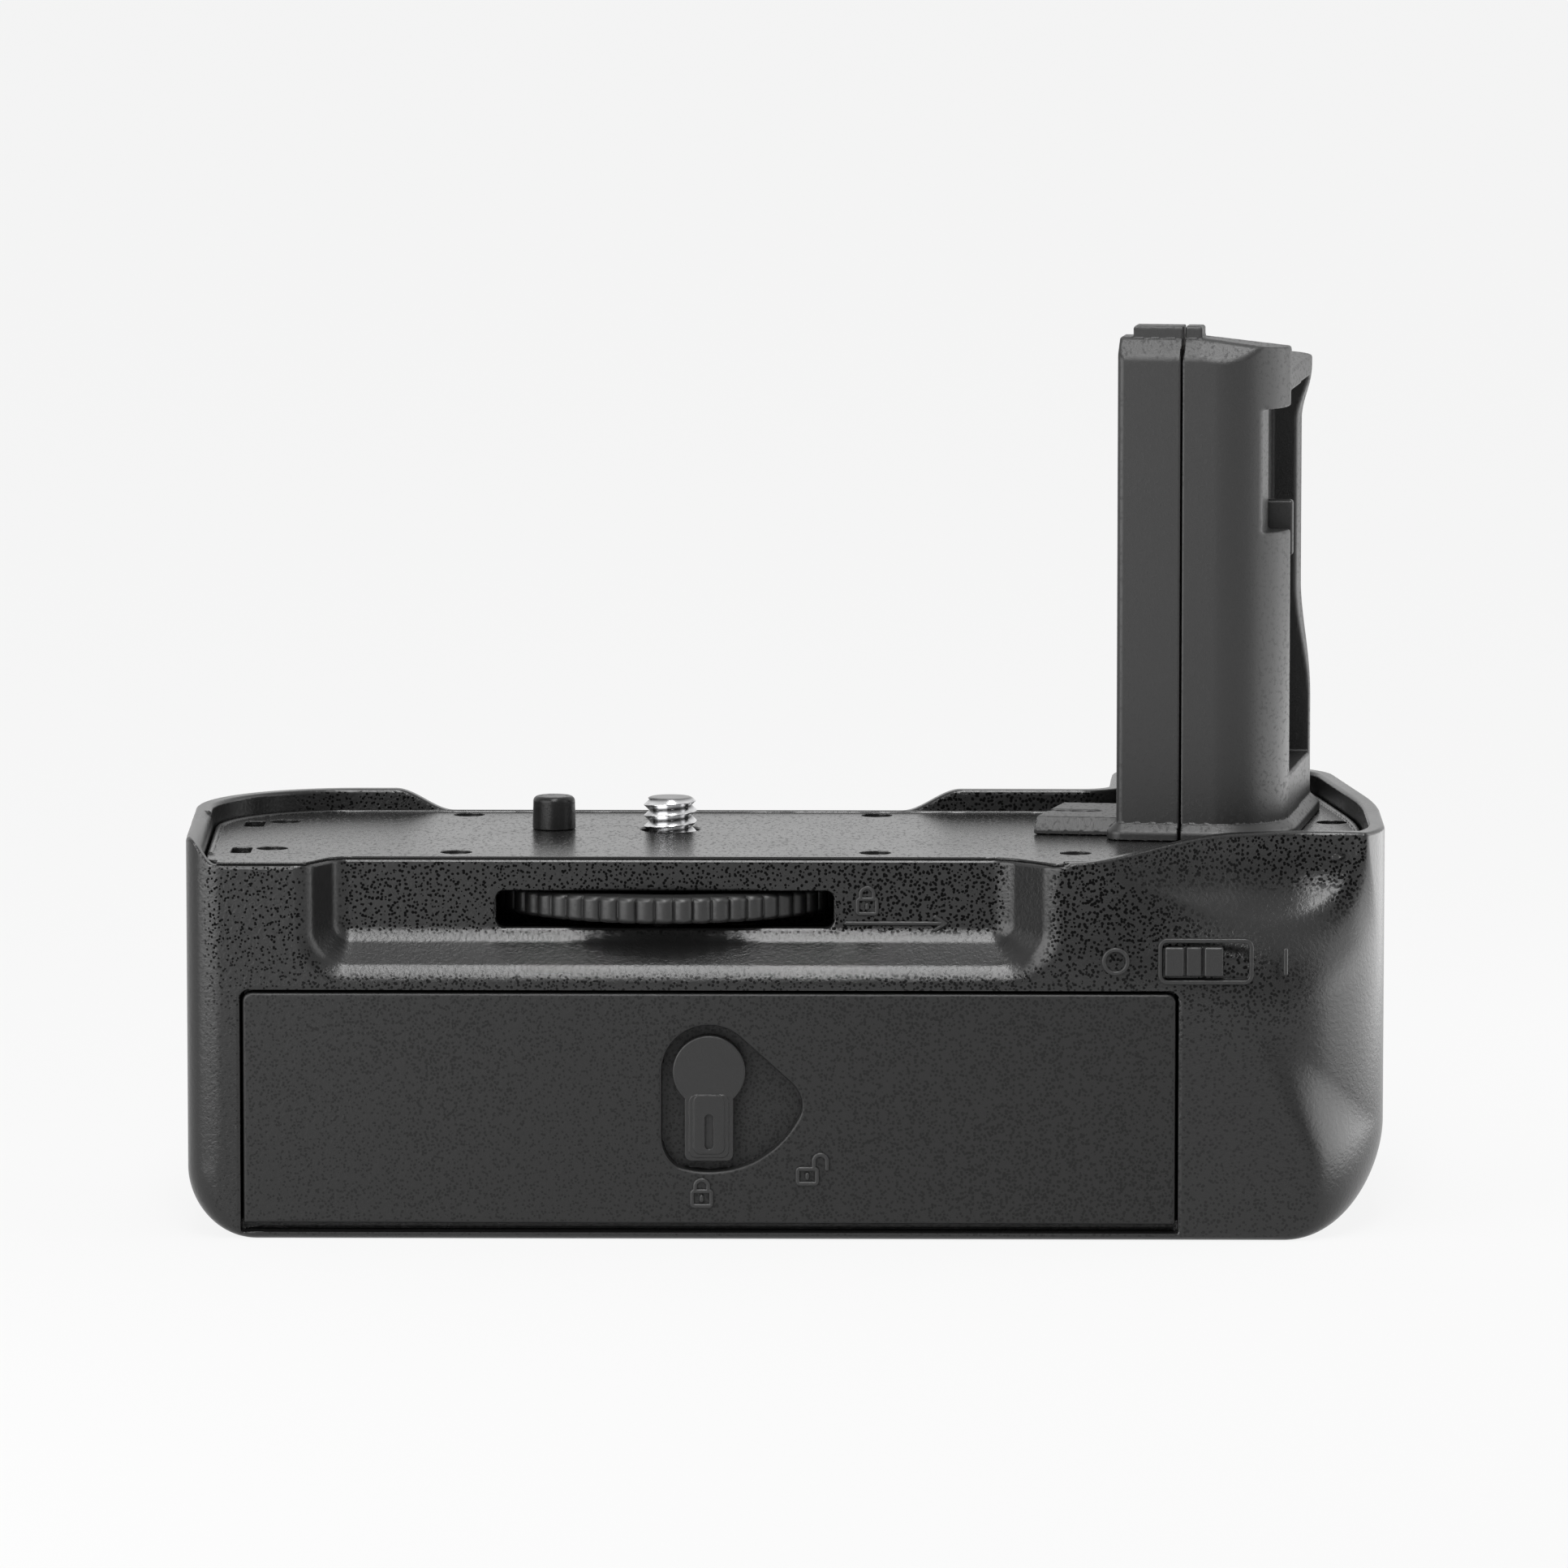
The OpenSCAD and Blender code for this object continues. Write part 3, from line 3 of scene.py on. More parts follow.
import json
import math
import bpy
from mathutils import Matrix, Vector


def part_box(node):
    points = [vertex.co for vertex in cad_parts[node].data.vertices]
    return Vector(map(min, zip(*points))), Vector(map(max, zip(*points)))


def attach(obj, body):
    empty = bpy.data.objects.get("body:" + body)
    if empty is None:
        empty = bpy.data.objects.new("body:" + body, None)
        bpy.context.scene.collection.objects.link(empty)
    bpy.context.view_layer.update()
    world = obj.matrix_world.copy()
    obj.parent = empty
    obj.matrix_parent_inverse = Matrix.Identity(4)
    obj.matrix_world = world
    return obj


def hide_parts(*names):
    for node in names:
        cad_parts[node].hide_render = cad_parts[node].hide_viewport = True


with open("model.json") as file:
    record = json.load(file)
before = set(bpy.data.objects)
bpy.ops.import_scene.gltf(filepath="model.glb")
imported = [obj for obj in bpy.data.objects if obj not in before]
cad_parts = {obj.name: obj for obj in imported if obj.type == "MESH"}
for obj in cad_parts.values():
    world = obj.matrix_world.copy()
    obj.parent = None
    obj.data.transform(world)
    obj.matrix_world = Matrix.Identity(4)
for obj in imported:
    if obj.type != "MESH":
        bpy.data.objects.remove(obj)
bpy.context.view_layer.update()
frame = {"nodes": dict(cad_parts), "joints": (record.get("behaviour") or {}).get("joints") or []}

from types import SimpleNamespace

import bpy
import numpy as np
from mathutils import Matrix, Vector

bl_info = {
    "name": "Camera battery grip",
    "version": (1, 0, 0),
    "blender": (4, 5, 0),
    "location": "View3D > Sidebar > Battery grip",
    "description": "Moulds the pieces of a camera battery grip round a fixed frame and sets up the studio",
    "category": "Object",
}

MM = 0.001
PHOTO_SIDE = 1932


# Measures taken from the frame, in millimetres

def span(node):
    """Lowest and highest corner of a frame node, in millimetres."""
    low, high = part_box(node)
    return [value / MM for value in low], [value / MM for value in high]


def joint(name):
    return next(j for j in frame["joints"] if j["name"] == name)


def pivot(name):
    """A point on a joint's axis, in millimetres."""
    return [value / MM for value in joint(name)["pos_m"]]


def screw_places(node, reach):
    """Middles of the separate solids of a node of like screws, from the points of its mesh."""
    found = []
    for vertex in frame["nodes"][node].data.vertices:
        x, y = vertex.co.x / MM, vertex.co.y / MM
        near = [g for g in found if math.hypot(g[0][0] - x, g[0][1] - y) < reach]
        if near:
            near[0].append((x, y))
        else:
            found.append([(x, y)])
    middles = []
    for group in found:
        xs, ys = zip(*group)
        middles.append(((min(xs) + max(xs)) / 2, (min(ys) + max(ys)) / 2))
    return middles


(LEFT, REAR, BASE), (RIGHT, NOSE, RIM) = span("main_housing")
DECK_UNDER, DECK = span("top_deck")[0][2], span("top_deck")[1][2]
DOOR_LOW, DOOR_HIGH = span("tray_front")
WHEEL_LOW, WHEEL_HIGH = span("lock_wheel")
SCREW_LOW, SCREW_HIGH = span("camera_screw")
PIN_LOW, PIN_HIGH = span("locating_pin")
KNOB_LOW, KNOB_HIGH = span("switch_knob")
LATCH = pivot("latch_turn")
WHEEL = pivot("wheel_spin")
SWING = math.radians(joint("latch_turn")["range_deg"][1])
DECK_SCREWS, BASE_SCREWS = screw_places("deck_screws", 4.0), screw_places("base_screws", 4.0)
SCREW_MID = [(SCREW_LOW[i] + SCREW_HIGH[i]) / 2 for i in (0, 1)]
PIN_MID = [(PIN_LOW[i] + PIN_HIGH[i]) / 2 for i in (0, 1)]
KNOB_MID = [(KNOB_LOW[i] + KNOB_HIGH[i]) / 2 for i in (0, 1, 2)]


# Fixed measures of small details, in millimetres

SCREW_SUNK, SCREW_PLAY, SCREW_HOLE = 0.4, 0.1, 3.5
SHANK_LONG = 1.2
CROSS_LONG, CROSS_HALF, CROSS_DEEP = 1.05, 0.22, 0.55
SEAT_BORE, SEAT_SLOPE, BASE_SEAT, DECK_SEAT = 1.06, 0.72, 1.75, 1.78
DECK_SLOTS, DECK_SLOT_ENDS, DECK_SLOT_HALF = (-20.4, 4.2), (5.9, 8.2), 2.7
SMALL_CORNER, SLOT_CORNER = 0.6, 1.0
SOCKET_FLANGE, SOCKET_PLAY = 2, 0.05
STEM_ENDS, STEM_SLOT, STEM_HALF = (-2.2, -0.2), (-2.4, 2.5), 0.9
RIDGE_TURN, TAB_SLOPE = 2, 1.4
CLIP_HIGH, CLIP_IN, CLIP_THICK = 6.5, 1.2, 1.2
RING_WIDE, RING_RUN, RIDGE_ROUND = 5, 1.5, 0.96
THREAD_CORE, CREST_FLAT = 2.2, 0.06
PIN_RADIUS, PIN_NECK = 2.53, 2.0
DOOR_THICK, BOSS_HIGH, POST_RADIUS = 2.2, 1.2, 2.4
POST_IN, POST_LOW, POST_HIGH = 9.6, 3.4, 4.8
LATCH_BASE, LATCH_BORE, LATCH_SHAFT, SHAFT_END = 2.05, 1.86, 1.8, 3.45
INNER_EDGE = 0.12
FIELD_SLACK = 0.8
FIRST_SPIN, NEXT_SPIN = 0.7, 1.3
FLOOR_HALF = 6.0
SHELL_TRIANGLES, STALK_TRIANGLES = 120000, (30000, 50000)

# Mesh step in millimetres and number of triangles of each other piece
DETAIL = {
    "rubber_inlay": (0.3, 16000), "deck_plate": (0.22, 40000), "fastener": (0.09, 2400), "pin": (0.12, 9000),
    "thread": (0.075, 30000), "wheel_disc": (0.13, 60000), "stalk_catch": (0.12, 3000), "tray_panel": (0.24, 40000),
    "latch_handle": (0.1, 30000), "switch_slider": (0.09, 20000), "switch_edge": (0.1, 12000), "mark": (0.1, 8000)}

# Place, aim, width and height of each lamp, in metres
LAMPS = {
    "top_lamp": ((0.014, -0.443, 0.89), (0.014, -0.03, 0.035), 0.22, 1.16),
    "left_lamp": ((-0.21, -0.21, 0.15), (0.0, 0.0, 0.15), 0.3, 0.298),
    "right_lamp": ((0.3, 0.02, 0.17), (0.0, 0.02, 0.17), 0.36, 0.338),
    "edge_lamp": ((0.165, 0.07, 0.023), (0.0, 0.07, 0.023), 0.26, 0.044)}


# Settings that a user would change

def length(name, description, millimetres):
    return bpy.props.FloatProperty(name=name, description=description, default=millimetres * MM, precision=5,
                                   subtype="DISTANCE", unit="LENGTH")


def angle(name, description, degrees):
    return bpy.props.FloatProperty(name=name, description=description, default=math.radians(degrees),
                                   subtype="ANGLE", unit="ROTATION")


def colour(name, description, grey, tint=0.0):
    return bpy.props.FloatVectorProperty(name=name, description=description, size=3, subtype="COLOR", min=0, max=1,
                                         default=(grey, grey, grey + tint))


def share(name, description, default):
    return bpy.props.FloatProperty(name=name, description=description, default=default, min=0, max=1,
                                   subtype="FACTOR")


def watts(name, description, default):
    return bpy.props.FloatProperty(name=name, description=description, default=default, min=0, subtype="POWER")


class GripShellSettings(bpy.types.PropertyGroup):
    """Sizes of the moulded shell and of the deck plate in it."""
    mesh_step: length("Mesh step", "Spacing of the lattice that the shell is moulded on", 0.32)
    front: length("Front face", "Screw axis to the front face", 18.5)
    left_end: length("Left end", "Screw axis to the left end at the front", 56.0)
    left_lean: length("Left lean", "Lean of the left end at the rear", 1.3)
    right_trim: length("Right trim", "Set-in of the right end from the frame", 0.4)
    wall: length("Wall", "Thickness of the shell's walls", 2.0)
    floor: length("Floor", "Thickness of the shell's floor", 1.2)
    corner_rear_left: length("Rear left corner", "Radius of the rear left corner", 4.0)
    corner_rear_right: length("Rear right corner", "Radius of the rear right corner", 17.0)
    corner_front_left: length("Front left corner", "Radius of the front left corner", 19.0)
    foot_left: length("Left foot", "Rounding under the left end", 8.0)
    foot_right: length("Right foot", "Rounding under the right end", 12.0)
    base_edge: length("Base edge", "Rounding of the base along the rear and the front", 1.1)
    grip_left: length("Hand grip", "Left flank of the hand grip at its root", 51.5)
    grip_lean: length("Hand grip lean", "Lean of that flank to the right at the nose", 1.0)
    grip_taper: length("Hand grip taper", "Narrowing of the right end at the nose", 5.3)
    taper_start: length("Taper start", "Depth at which the right end starts to narrow", 5.0)
    taper_soft: length("Taper softness", "Easing where the right end starts to narrow", 1.0)
    grip_corner: length("Hand grip corners", "Radius of the corners at the nose", 9.0)
    grip_root: length("Hand grip root", "Radius where the hand grip leaves the front", 3.0)
    rim_edge: length("Rim edge", "Rounding of the rim's edges", 0.45)
    rim_fall_left: length("Rear rim fall", "Start of the rear rim's fall, from the left end", 1.6)
    rim_run_left: length("Rear rim run", "Length of that fall", 3.0)
    rim_flat_right: length("Rear rim flat", "Rear rim is at deck level up to here", 46.0)
    rim_run_right: length("Rear rim rise", "Length of the rise at the rear right", 19.0)
    gap_left: length("Front gap left", "Front rim ends this far left of the screw axis", 26.0)
    gap_right: length("Front gap right", "Front rim ends this far right of the screw axis", 27.0)
    gap_run: length("Front ramp", "Length of each ramp of the front rim", 7.0)
    pocket_left: length("Pocket left", "Left end of the wheel pocket's back wall", 37.6)
    pocket_right: length("Pocket right", "Right end of the wheel pocket's back wall", 39.1)
    pocket_depth: length("Pocket depth", "Depth of the wheel pocket", 5.7)
    pocket_drop: length("Pocket drop", "Deck to the foot of the pocket's back wall", 9.0)
    ledge_fall: length("Ledge fall", "Fall of the ledge to the rear face", 3.6)
    slope_left: length("Left slope", "Width of the pocket's left slope", 3.1)
    slope_right: length("Right slope", "Width of the pocket's right slope", 5.3)
    pocket_corner: length("Pocket corners", "Radius of the pocket's lower corners at the mouth", 4.0)
    pocket_root: length("Pocket root", "Hollow rounding at the foot of the pocket's back wall", 1.2)
    mouth_edge: length("Mouth edge", "Rounding of the pocket's mouth", 1.3)
    scoop_in: length("Scoop axis", "Axis of the thumb scoop, from the right end", 19.3)
    scoop_y: length("Scoop depth", "Depth of the thumb scoop's axis", -4.5)
    scoop_radius: length("Scoop radius", "Radius of the thumb scoop at the rim", 19.5)
    scoop_flare: length("Scoop flare", "Growth of that radius at the scoop's foot", 8.0)
    scoop_drop: length("Scoop drop", "Deck to the scoop's foot", 10.0)
    scoop_edge: length("Scoop edge", "Rounding of the scoop's lower edge", 5.0)
    scoop_turn: angle("Scoop turn", "Turn of the scoop's slanting run", 22.0)
    scoop_back: length("Scoop set-back", "Set-back of the scoop's level run at the rim", 9.7)
    scoop_valley: length("Scoop valley", "Easing between the runs of the scoop", 3.0)
    scoop_end: length("Scoop end", "Start of the scoop's right run, from the right end", 5.6)
    scoop_end_turn: angle("Scoop end turn", "Turn of the scoop's right run", 20.0)
    slot_gap: length("Wheel slot", "Slot over and under the wheel", 0.9)
    door_gap: length("Door gap", "Gap round the tray front", 0.3)
    door_lip: length("Door lip", "Height of the lip under the tray front", 0.9)
    door_corner: length("Door corner", "Radius of the tray front's upper corners", 1.0)
    switch_x: length("Switch", "Middle of the switch recess", 61.9)
    switch_drop: length("Switch drop", "Deck to the middle of the switch recess", 11.2)
    switch_wide: length("Switch width", "Width of the switch recess", 10.0)
    switch_high: length("Switch height", "Height of the switch recess", 4.4)
    switch_deep: length("Switch depth", "Depth of the switch recess", 1.1)
    bezel: length("Switch edge", "Width of the edge round the switch recess", 0.45)
    rubber: length("Rubber", "Thickness of the rubber inlay", 0.8)
    rubber_proud: length("Rubber stand", "Stand of the rubber over the shell", 0.15)
    rubber_root: length("Rubber root", "Rubber starts this far before the front face", 4.0)
    rubber_low: length("Rubber foot", "Rubber starts this far over the table", 7.0)
    rubber_high: length("Rubber head", "Rubber stops this far under the deck", 4.5)
    deck_gap: length("Deck gap", "Gap round the deck plate", 0.25)
    deck_lip: length("Deck lip", "Set-back of the deck's sheet from the rear wall", 0.4)
    bead: length("Deck bead", "Radius of the bead along the deck's edge", 0.4)
    deck_edge: length("Deck edge", "Thickness of the sheet over the rear wall", 0.3)


class GripStalkSettings(bpy.types.PropertyGroup):
    """Sizes of the battery-shaped stalk."""
    mesh_step: length("Mesh step", "Spacing of the lattice that the stalk is moulded on", 0.26)
    place_x: length("Near edge, X", "Near left edge of the stalk, to the right", 51.9)
    place_y: length("Near edge, Y", "Near left edge of the stalk, depth", -9.6)
    yaw: angle("Turn", "Turn of the stalk in plan", 8.2)
    wide: length("Thickness", "Thickness of the stalk", 19.3)
    deep: length("Depth", "Depth of the stalk", 39.0)
    high: length("Height", "Height of the stalk over the deck", 58.3)
    edge: length("Left edges", "Rounding of the left edges", 0.8)
    corner: length("Right corners", "Rounding of the right corners", 8.0)
    soft: length("Soft edges", "Rounding of the top's edges", 0.35)
    wall: length("Wall", "Thickness of the stalk's walls", 1.6)
    seam: length("Parting line", "Parting line from the left face", 7.5)
    seam_gap: length("Parting groove", "Width of the parting groove", 0.3)
    chamfer: length("Chamfer", "Chamfer of the near top edge", 2.3)
    block_high: length("Block height", "Raised block on the top", 1.3)
    block_wide: length("Block width", "Width of the raised block", 9.6)
    block_deep: length("Block depth", "Depth of the raised block", 3.4)
    ridge: length("Ridge", "Depth of the high ridge on the top", 6.4)
    ridge_fall: length("Ridge fall", "Fall of the ridge at the right end", 1.3)
    step: length("Terminal step", "Step down to the terminals", 4.2)
    collar: length("Collar", "Height of the collar round the foot", 2.0)
    collar_out: length("Collar reach", "Reach of the collar beyond the stalk", 1.1)
    tab_reach: length("Tab reach", "Reach of the foot tab to the left", 10.0)
    tab_deep: length("Tab depth", "Depth of the foot tab", 15.0)
    tab_start: length("Tab start", "Start of the foot tab behind the near face", 3.2)
    tab_slot: length("Tab slot", "Length of the slot in the foot tab", 6.0)
    tab_slot_wide: length("Tab slot width", "Width of the slot in the foot tab", 1.8)
    store_deep: length("Store depth", "Depth of the storage pocket", 4.6)
    store_near: length("Store near lip", "Near lip of the storage pocket", 8.6)
    store_far: length("Store far lip", "Far lip of the storage pocket", 8.2)
    store_low: length("Store floor", "Floor of the storage pocket over the deck", 7.0)
    store_top: length("Store roof", "Roof of the storage pocket under the top", 6.6)
    scoop: length("Lip scoop", "Depth of the scoop in the far lip", 1.7)
    scoop_low: length("Lip scoop start", "Start of the scoop over the deck", 13.0)
    scoop_top: length("Lip scoop end", "End of the scoop under the top", 5.0)
    scoop_run: length("Lip scoop run", "Run of the scoop's lower end", 14.0)
    window_in: length("Window depth", "Reach of the window into the near lip", 2.6)
    window_high: length("Window height", "Height of the window", 14.3)
    window_drop: length("Window drop", "Top of the stalk to the window", 8.3)


class GripPartSettings(bpy.types.PropertyGroup):
    """Sizes of the small parts."""
    ridges: bpy.props.IntProperty(name="Wheel ridges", description="Ridges round the lock wheel", default=60, min=12)
    ridge: length("Ridge height", "Height of the wheel's ridges", 0.75)
    wheel_edge: length("Wheel edge", "Rounding of the wheel's rims", 0.6)
    wheel_lip: length("Wheel lip", "Stand of the wheel's ring over its web", 0.5)
    wheel_proud: length("Wheel stand", "Stand of the ridges over the frame's wheel", 2.0)
    axle: length("Wheel bore", "Radius of the wheel's bore", 2.06)
    pitch: length("Thread pitch", "Pitch of the camera screw's thread", 1.27)
    thread: length("Thread depth", "Depth of the camera screw's thread", 0.68)
    crest: length("Thread crest", "Crest radius of the camera screw's thread", 3.1)
    pin_taper: length("Pin taper", "Narrowing of the locating pin to its top", 0.1)
    pin_edge: length("Pin edge", "Rounding of the pin's top", 0.6)
    head: length("Screw head", "Radius of a deck screw's head", 1.65)
    head_high: length("Screw head depth", "Depth of a deck screw's head", 0.9)
    shank: length("Screw shank", "Radius of a deck screw's shank", 1.0)
    disc: length("Latch disc", "Radius of the latch disc", 4.2)
    handle: length("Latch handle", "Reach of the latch handle from the pivot", 10.3)
    handle_wide: length("Latch handle width", "Width of the latch handle at its foot", 5.6)
    play: length("Latch play", "Play of the latch in its pocket", 1.2)
    face: length("Latch face", "Set-back of the latch face from the tray front", 0.3)
    door_edge: length("Door edge", "Rounding of the tray front's edges", 0.35)
    stroke: length("Mark stroke", "Width of the raised marks' strokes", 0.52)
    stroke_high: length("Mark height", "Stand of the raised marks", 0.34)


class GripFinishSettings(bpy.types.PropertyGroup):
    """Colours and gloss of the finishes."""
    shell: colour("Shell", "Pebbled black plastic of the shell", 0.006)
    door: colour("Tray front", "Finer black plastic of the tray front", 0.008)
    deck: colour("Deck", "Satin black plastic of the deck", 0.007)
    stalk: colour("Stalk", "Satin black plastic of the stalk", 0.01)
    wheel: colour("Wheel", "Black plastic of the lock wheel", 0.009)
    rubber: colour("Rubber", "Black rubber of the hand grip", 0.012)
    steel: colour("Steel", "Bright steel of the camera screw", 0.72, 0.01)
    black_steel: colour("Black steel", "Blackened screws", 0.03)
    shell_gloss: share("Shell roughness", "Roughness of the shell", 0.27)
    door_gloss: share("Tray roughness", "Roughness of the tray front", 0.42)
    deck_gloss: share("Deck roughness", "Roughness of the deck", 0.24)
    stalk_gloss: share("Stalk roughness", "Roughness of the stalk", 0.4)
    grain: length("Grain", "Size of the shell's pebbles", 0.5)
    grain_depth: length("Grain depth", "Depth of the shell's pebbles", 0.018)


class GripStageSettings(bpy.types.PropertyGroup):
    """Camera, lamps and floor."""
    focal: bpy.props.FloatProperty(name="Focal length in pixels", description="Focal length in photograph pixels",
                                   default=13340.0)
    aim: bpy.props.FloatVectorProperty(name="Aim", description="Point that the camera stands over", size=3,
                                       default=(0.0, 0.0, 0.0435), subtype="TRANSLATION", unit="LENGTH")
    distance: length("Distance", "Camera to that point, along its view", 1267.0)
    slide_right: length("Slide right", "Camera slide to its right", 13.3)
    slide_up: length("Slide up", "Camera slide upwards", 5.24)
    yaw: angle("Yaw", "Turn of the camera to the left", 0.786)
    pitch: angle("Pitch", "Tilt of the camera downwards", 6.87)
    backdrop: colour("Backdrop", "Colour of the floor and the backdrop", 0.93)
    ambient: share("Ambient", "Strength of the light from all round", 0.55)
    top_lamp: watts("Top lamp", "Power of the soft lamp overhead", 9.6)
    left_lamp: watts("Left lamp", "Power of the soft lamp at the left", 1.0)
    right_lamp: watts("Right lamp", "Power of the soft lamp at the right", 0.62)
    edge_lamp: watts("Edge lamp", "Power of the low soft lamp behind the right end", 0.062)


def in_mm(group):
    """The values of a settings group, with lengths in millimetres."""
    values = {}
    for prop in group.bl_rna.properties:
        if prop.identifier not in ("rna_type", "name"):
            value = getattr(group, prop.identifier)
            values[prop.identifier] = value / MM if getattr(prop, "unit", "NONE") == "LENGTH" else value
    return SimpleNamespace(**values)


# Distance fields: below zero is inside, and the last argument is the radius of the edge that is made

def meet(a, b, r=0.0):
    """What is inside both fields."""
    inner = np.minimum(np.maximum(a, b), -r)
    return inner + np.hypot(np.maximum(a + r, 0), np.maximum(b + r, 0))


def join(a, b, r=0.0):
    """What is inside either field."""
    return -meet(-a, -b, r)


def cut(a, b, r=0.0):
    """What is inside the first field and outside the second."""
    return meet(a, -b, r)


def meet_shallow(a, b, k):
    """What is inside both of two fields that meet at a shallow angle, eased over a difference of k."""
    return np.maximum(a, b) + np.maximum(k - np.abs(a - b), 0) ** 2 / (4 * k)


def between(value, low, high):
    return np.maximum(low - value, value - high)


def ease(value):
    """A smooth rise from 0 to 1."""
    t = np.clip(value, 0, 1)
    return t * t * (3 - 2 * t)


def side_of(u, v, start, end):
    """Distance to the line from start to end, above zero on its right."""
    du, dv = end[0] - start[0], end[1] - start[1]
    return ((u - start[0]) * dv - (v - start[1]) * du) / math.hypot(du, dv)


def panel(u, v, low, high, r):
    """A rectangle with round corners."""
    a = np.abs(u - (low[0] + high[0]) / 2) - (high[0] - low[0]) / 2
    b = np.abs(v - (low[1] + high[1]) / 2) - (high[1] - low[1]) / 2
    return meet(a, b, r)


def stroke(u, v, points):
    """Distance to a line through points."""
    best = None
    for (u0, v0), (u1, v1) in zip(points[:-1], points[1:]):
        du, dv = u1 - u0, v1 - v0
        t = np.clip(((u - u0) * du + (v - v0) * dv) / (du * du + dv * dv), 0, 1)
        d = np.hypot(u - u0 - t * du, v - v0 - t * dv)
        best = d if best is None else np.minimum(best, d)
    return best


def seat(depth, radius):
    """Radius of a countersunk seat at a depth."""
    return np.clip(radius - depth * SEAT_SLOPE, SEAT_BORE, radius)


def corner(wall, base, side, foot, upright, low):
    """A wall rounded into the base, then into a side wall by a radius that falls from upright to low at the base."""
    lean = ease((base - wall + foot) / (2 * foot))
    return meet(meet(wall, base, foot), side, upright + (low - upright) * lean)


# Moulding: a mesh on the zero level of a field

BLOCK = 4
QUICK_STEP = 1.0


def lattice(low, high, step):
    axes = []
    for a, b in zip(low, high):
        blocks = math.ceil((b - a + 4 * step) / (step * BLOCK))
        axes.append((a - 2 * step + step * np.arange(blocks * BLOCK + 1)).astype(np.float32))
    return axes


def sample(field, axes):
    """Field values on a lattice; node by node only in the blocks that may hold the surface."""
    shape = tuple(len(axis) for axis in axes)
    step = float(axes[0][1] - axes[0][0])
    coarse = np.broadcast_to(
        field(*np.meshgrid(*[axis[::BLOCK] for axis in axes], indexing="ij", sparse=True)),
        tuple((n - 1) // BLOCK + 1 for n in shape))
    near = np.abs(coarse) < 1.3 * step * BLOCK
    corners = [(i, j, k) for i in (0, 1) for j in (0, 1) for k in (0, 1)]
    m = near.shape
    live = np.zeros(tuple(n - 1 for n in m), bool)
    for i, j, k in corners:
        live |= near[i:m[0] - 1 + i, j:m[1] - 1 + j, k:m[2] - 1 + k]
    for axis in range(3):
        live = live.repeat(BLOCK, axis)
    nodes = np.zeros(shape, bool)
    for i, j, k in corners:
        nodes[i:shape[0] - 1 + i, j:shape[1] - 1 + j, k:shape[2] - 1 + k] |= live
    values = coarse[np.ix_(*[np.arange(n) // BLOCK for n in shape])].astype(np.float32)
    i, j, k = np.nonzero(nodes)
    values[nodes] = field(axes[0][i], axes[1][j], axes[2][k])
    return values


def net(values, axes):
    """Points and quads of the surface net of lattice values."""
    inside = values < 0
    n = inside.shape
    count = np.zeros(tuple(size - 1 for size in n), np.uint8)
    for i in (0, 1):
        for j in (0, 1):
            for k in (0, 1):
                count += inside[i:n[0] - 1 + i, j:n[1] - 1 + j, k:n[2] - 1 + k]
    live = (count > 0) & (count < 8)
    cells = np.argwhere(live)
    index = np.full(live.shape, -1, np.int32)
    index[live] = np.arange(len(cells))
    unit = np.eye(3, dtype=int)
    total = np.zeros((len(cells), 3))
    hits = np.zeros(len(cells))
    quads = []
    for axis in range(3):
        e, f = unit[(axis + 1) % 3], unit[(axis + 2) % 3]
        for shift in (0 * e, e, f, e + f):
            a = values[tuple((cells + shift).T)]
            b = values[tuple((cells + shift + unit[axis]).T)]
            crossed = (a < 0) != (b < 0)
            t = a[crossed] / (a[crossed] - b[crossed])
            total[crossed] += shift + t[:, None] * unit[axis]
            hits += crossed
        low = [slice(1, -1)] * 3
        high = [slice(1, -1)] * 3
        low[axis], high[axis] = slice(0, -1), slice(1, None)
        changed = inside[tuple(low)] != inside[tuple(high)]
        at = np.argwhere(changed) + e + f
        quad = np.stack([index[tuple((at - shift).T)] for shift in (e + f, f, 0 * e, e)], 1)
        outward = inside[tuple(at.T)]
        quads.append(np.where(outward[:, None], quad, quad[:, ::-1]))
    points = cells + total / hits[:, None]
    origin = np.array([axis[0] for axis in axes], float)
    step = float(axes[0][1] - axes[0][0])
    return origin + step * points, np.concatenate(quads)


def slope(field, points, reach):
    """Direction in which the field grows at points."""
    grown = []
    for axis in np.eye(3) * reach:
        grown.append(field(*(points + axis).T) - field(*(points - axis).T))
    return np.stack(grown, 1) / (2 * reach)


def settle(field, points, reach):
    """Points moved on to the zero level of the field."""
    for _ in range(2):
        grown = slope(field, points, reach / 8)
        pull = field(*points.T) / np.maximum((grown * grown).sum(1), 0.25)
        points = points - np.clip(pull, -reach, reach)[:, None] * grown
    return points


def mesh_of(name, points, quads):
    mesh = bpy.data.meshes.new(name)
    mesh.vertices.add(len(points))
    mesh.vertices.foreach_set("co", (points * MM).astype(np.float32).ravel())
    mesh.loops.add(quads.size)
    mesh.loops.foreach_set("vertex_index", quads.astype(np.int32).ravel())
    mesh.polygons.add(len(quads))
    mesh.polygons.foreach_set("loop_start", np.arange(0, quads.size, quads.shape[1], dtype=np.int32))
    mesh.update(calc_edges=True)
    mesh.validate()
    return mesh


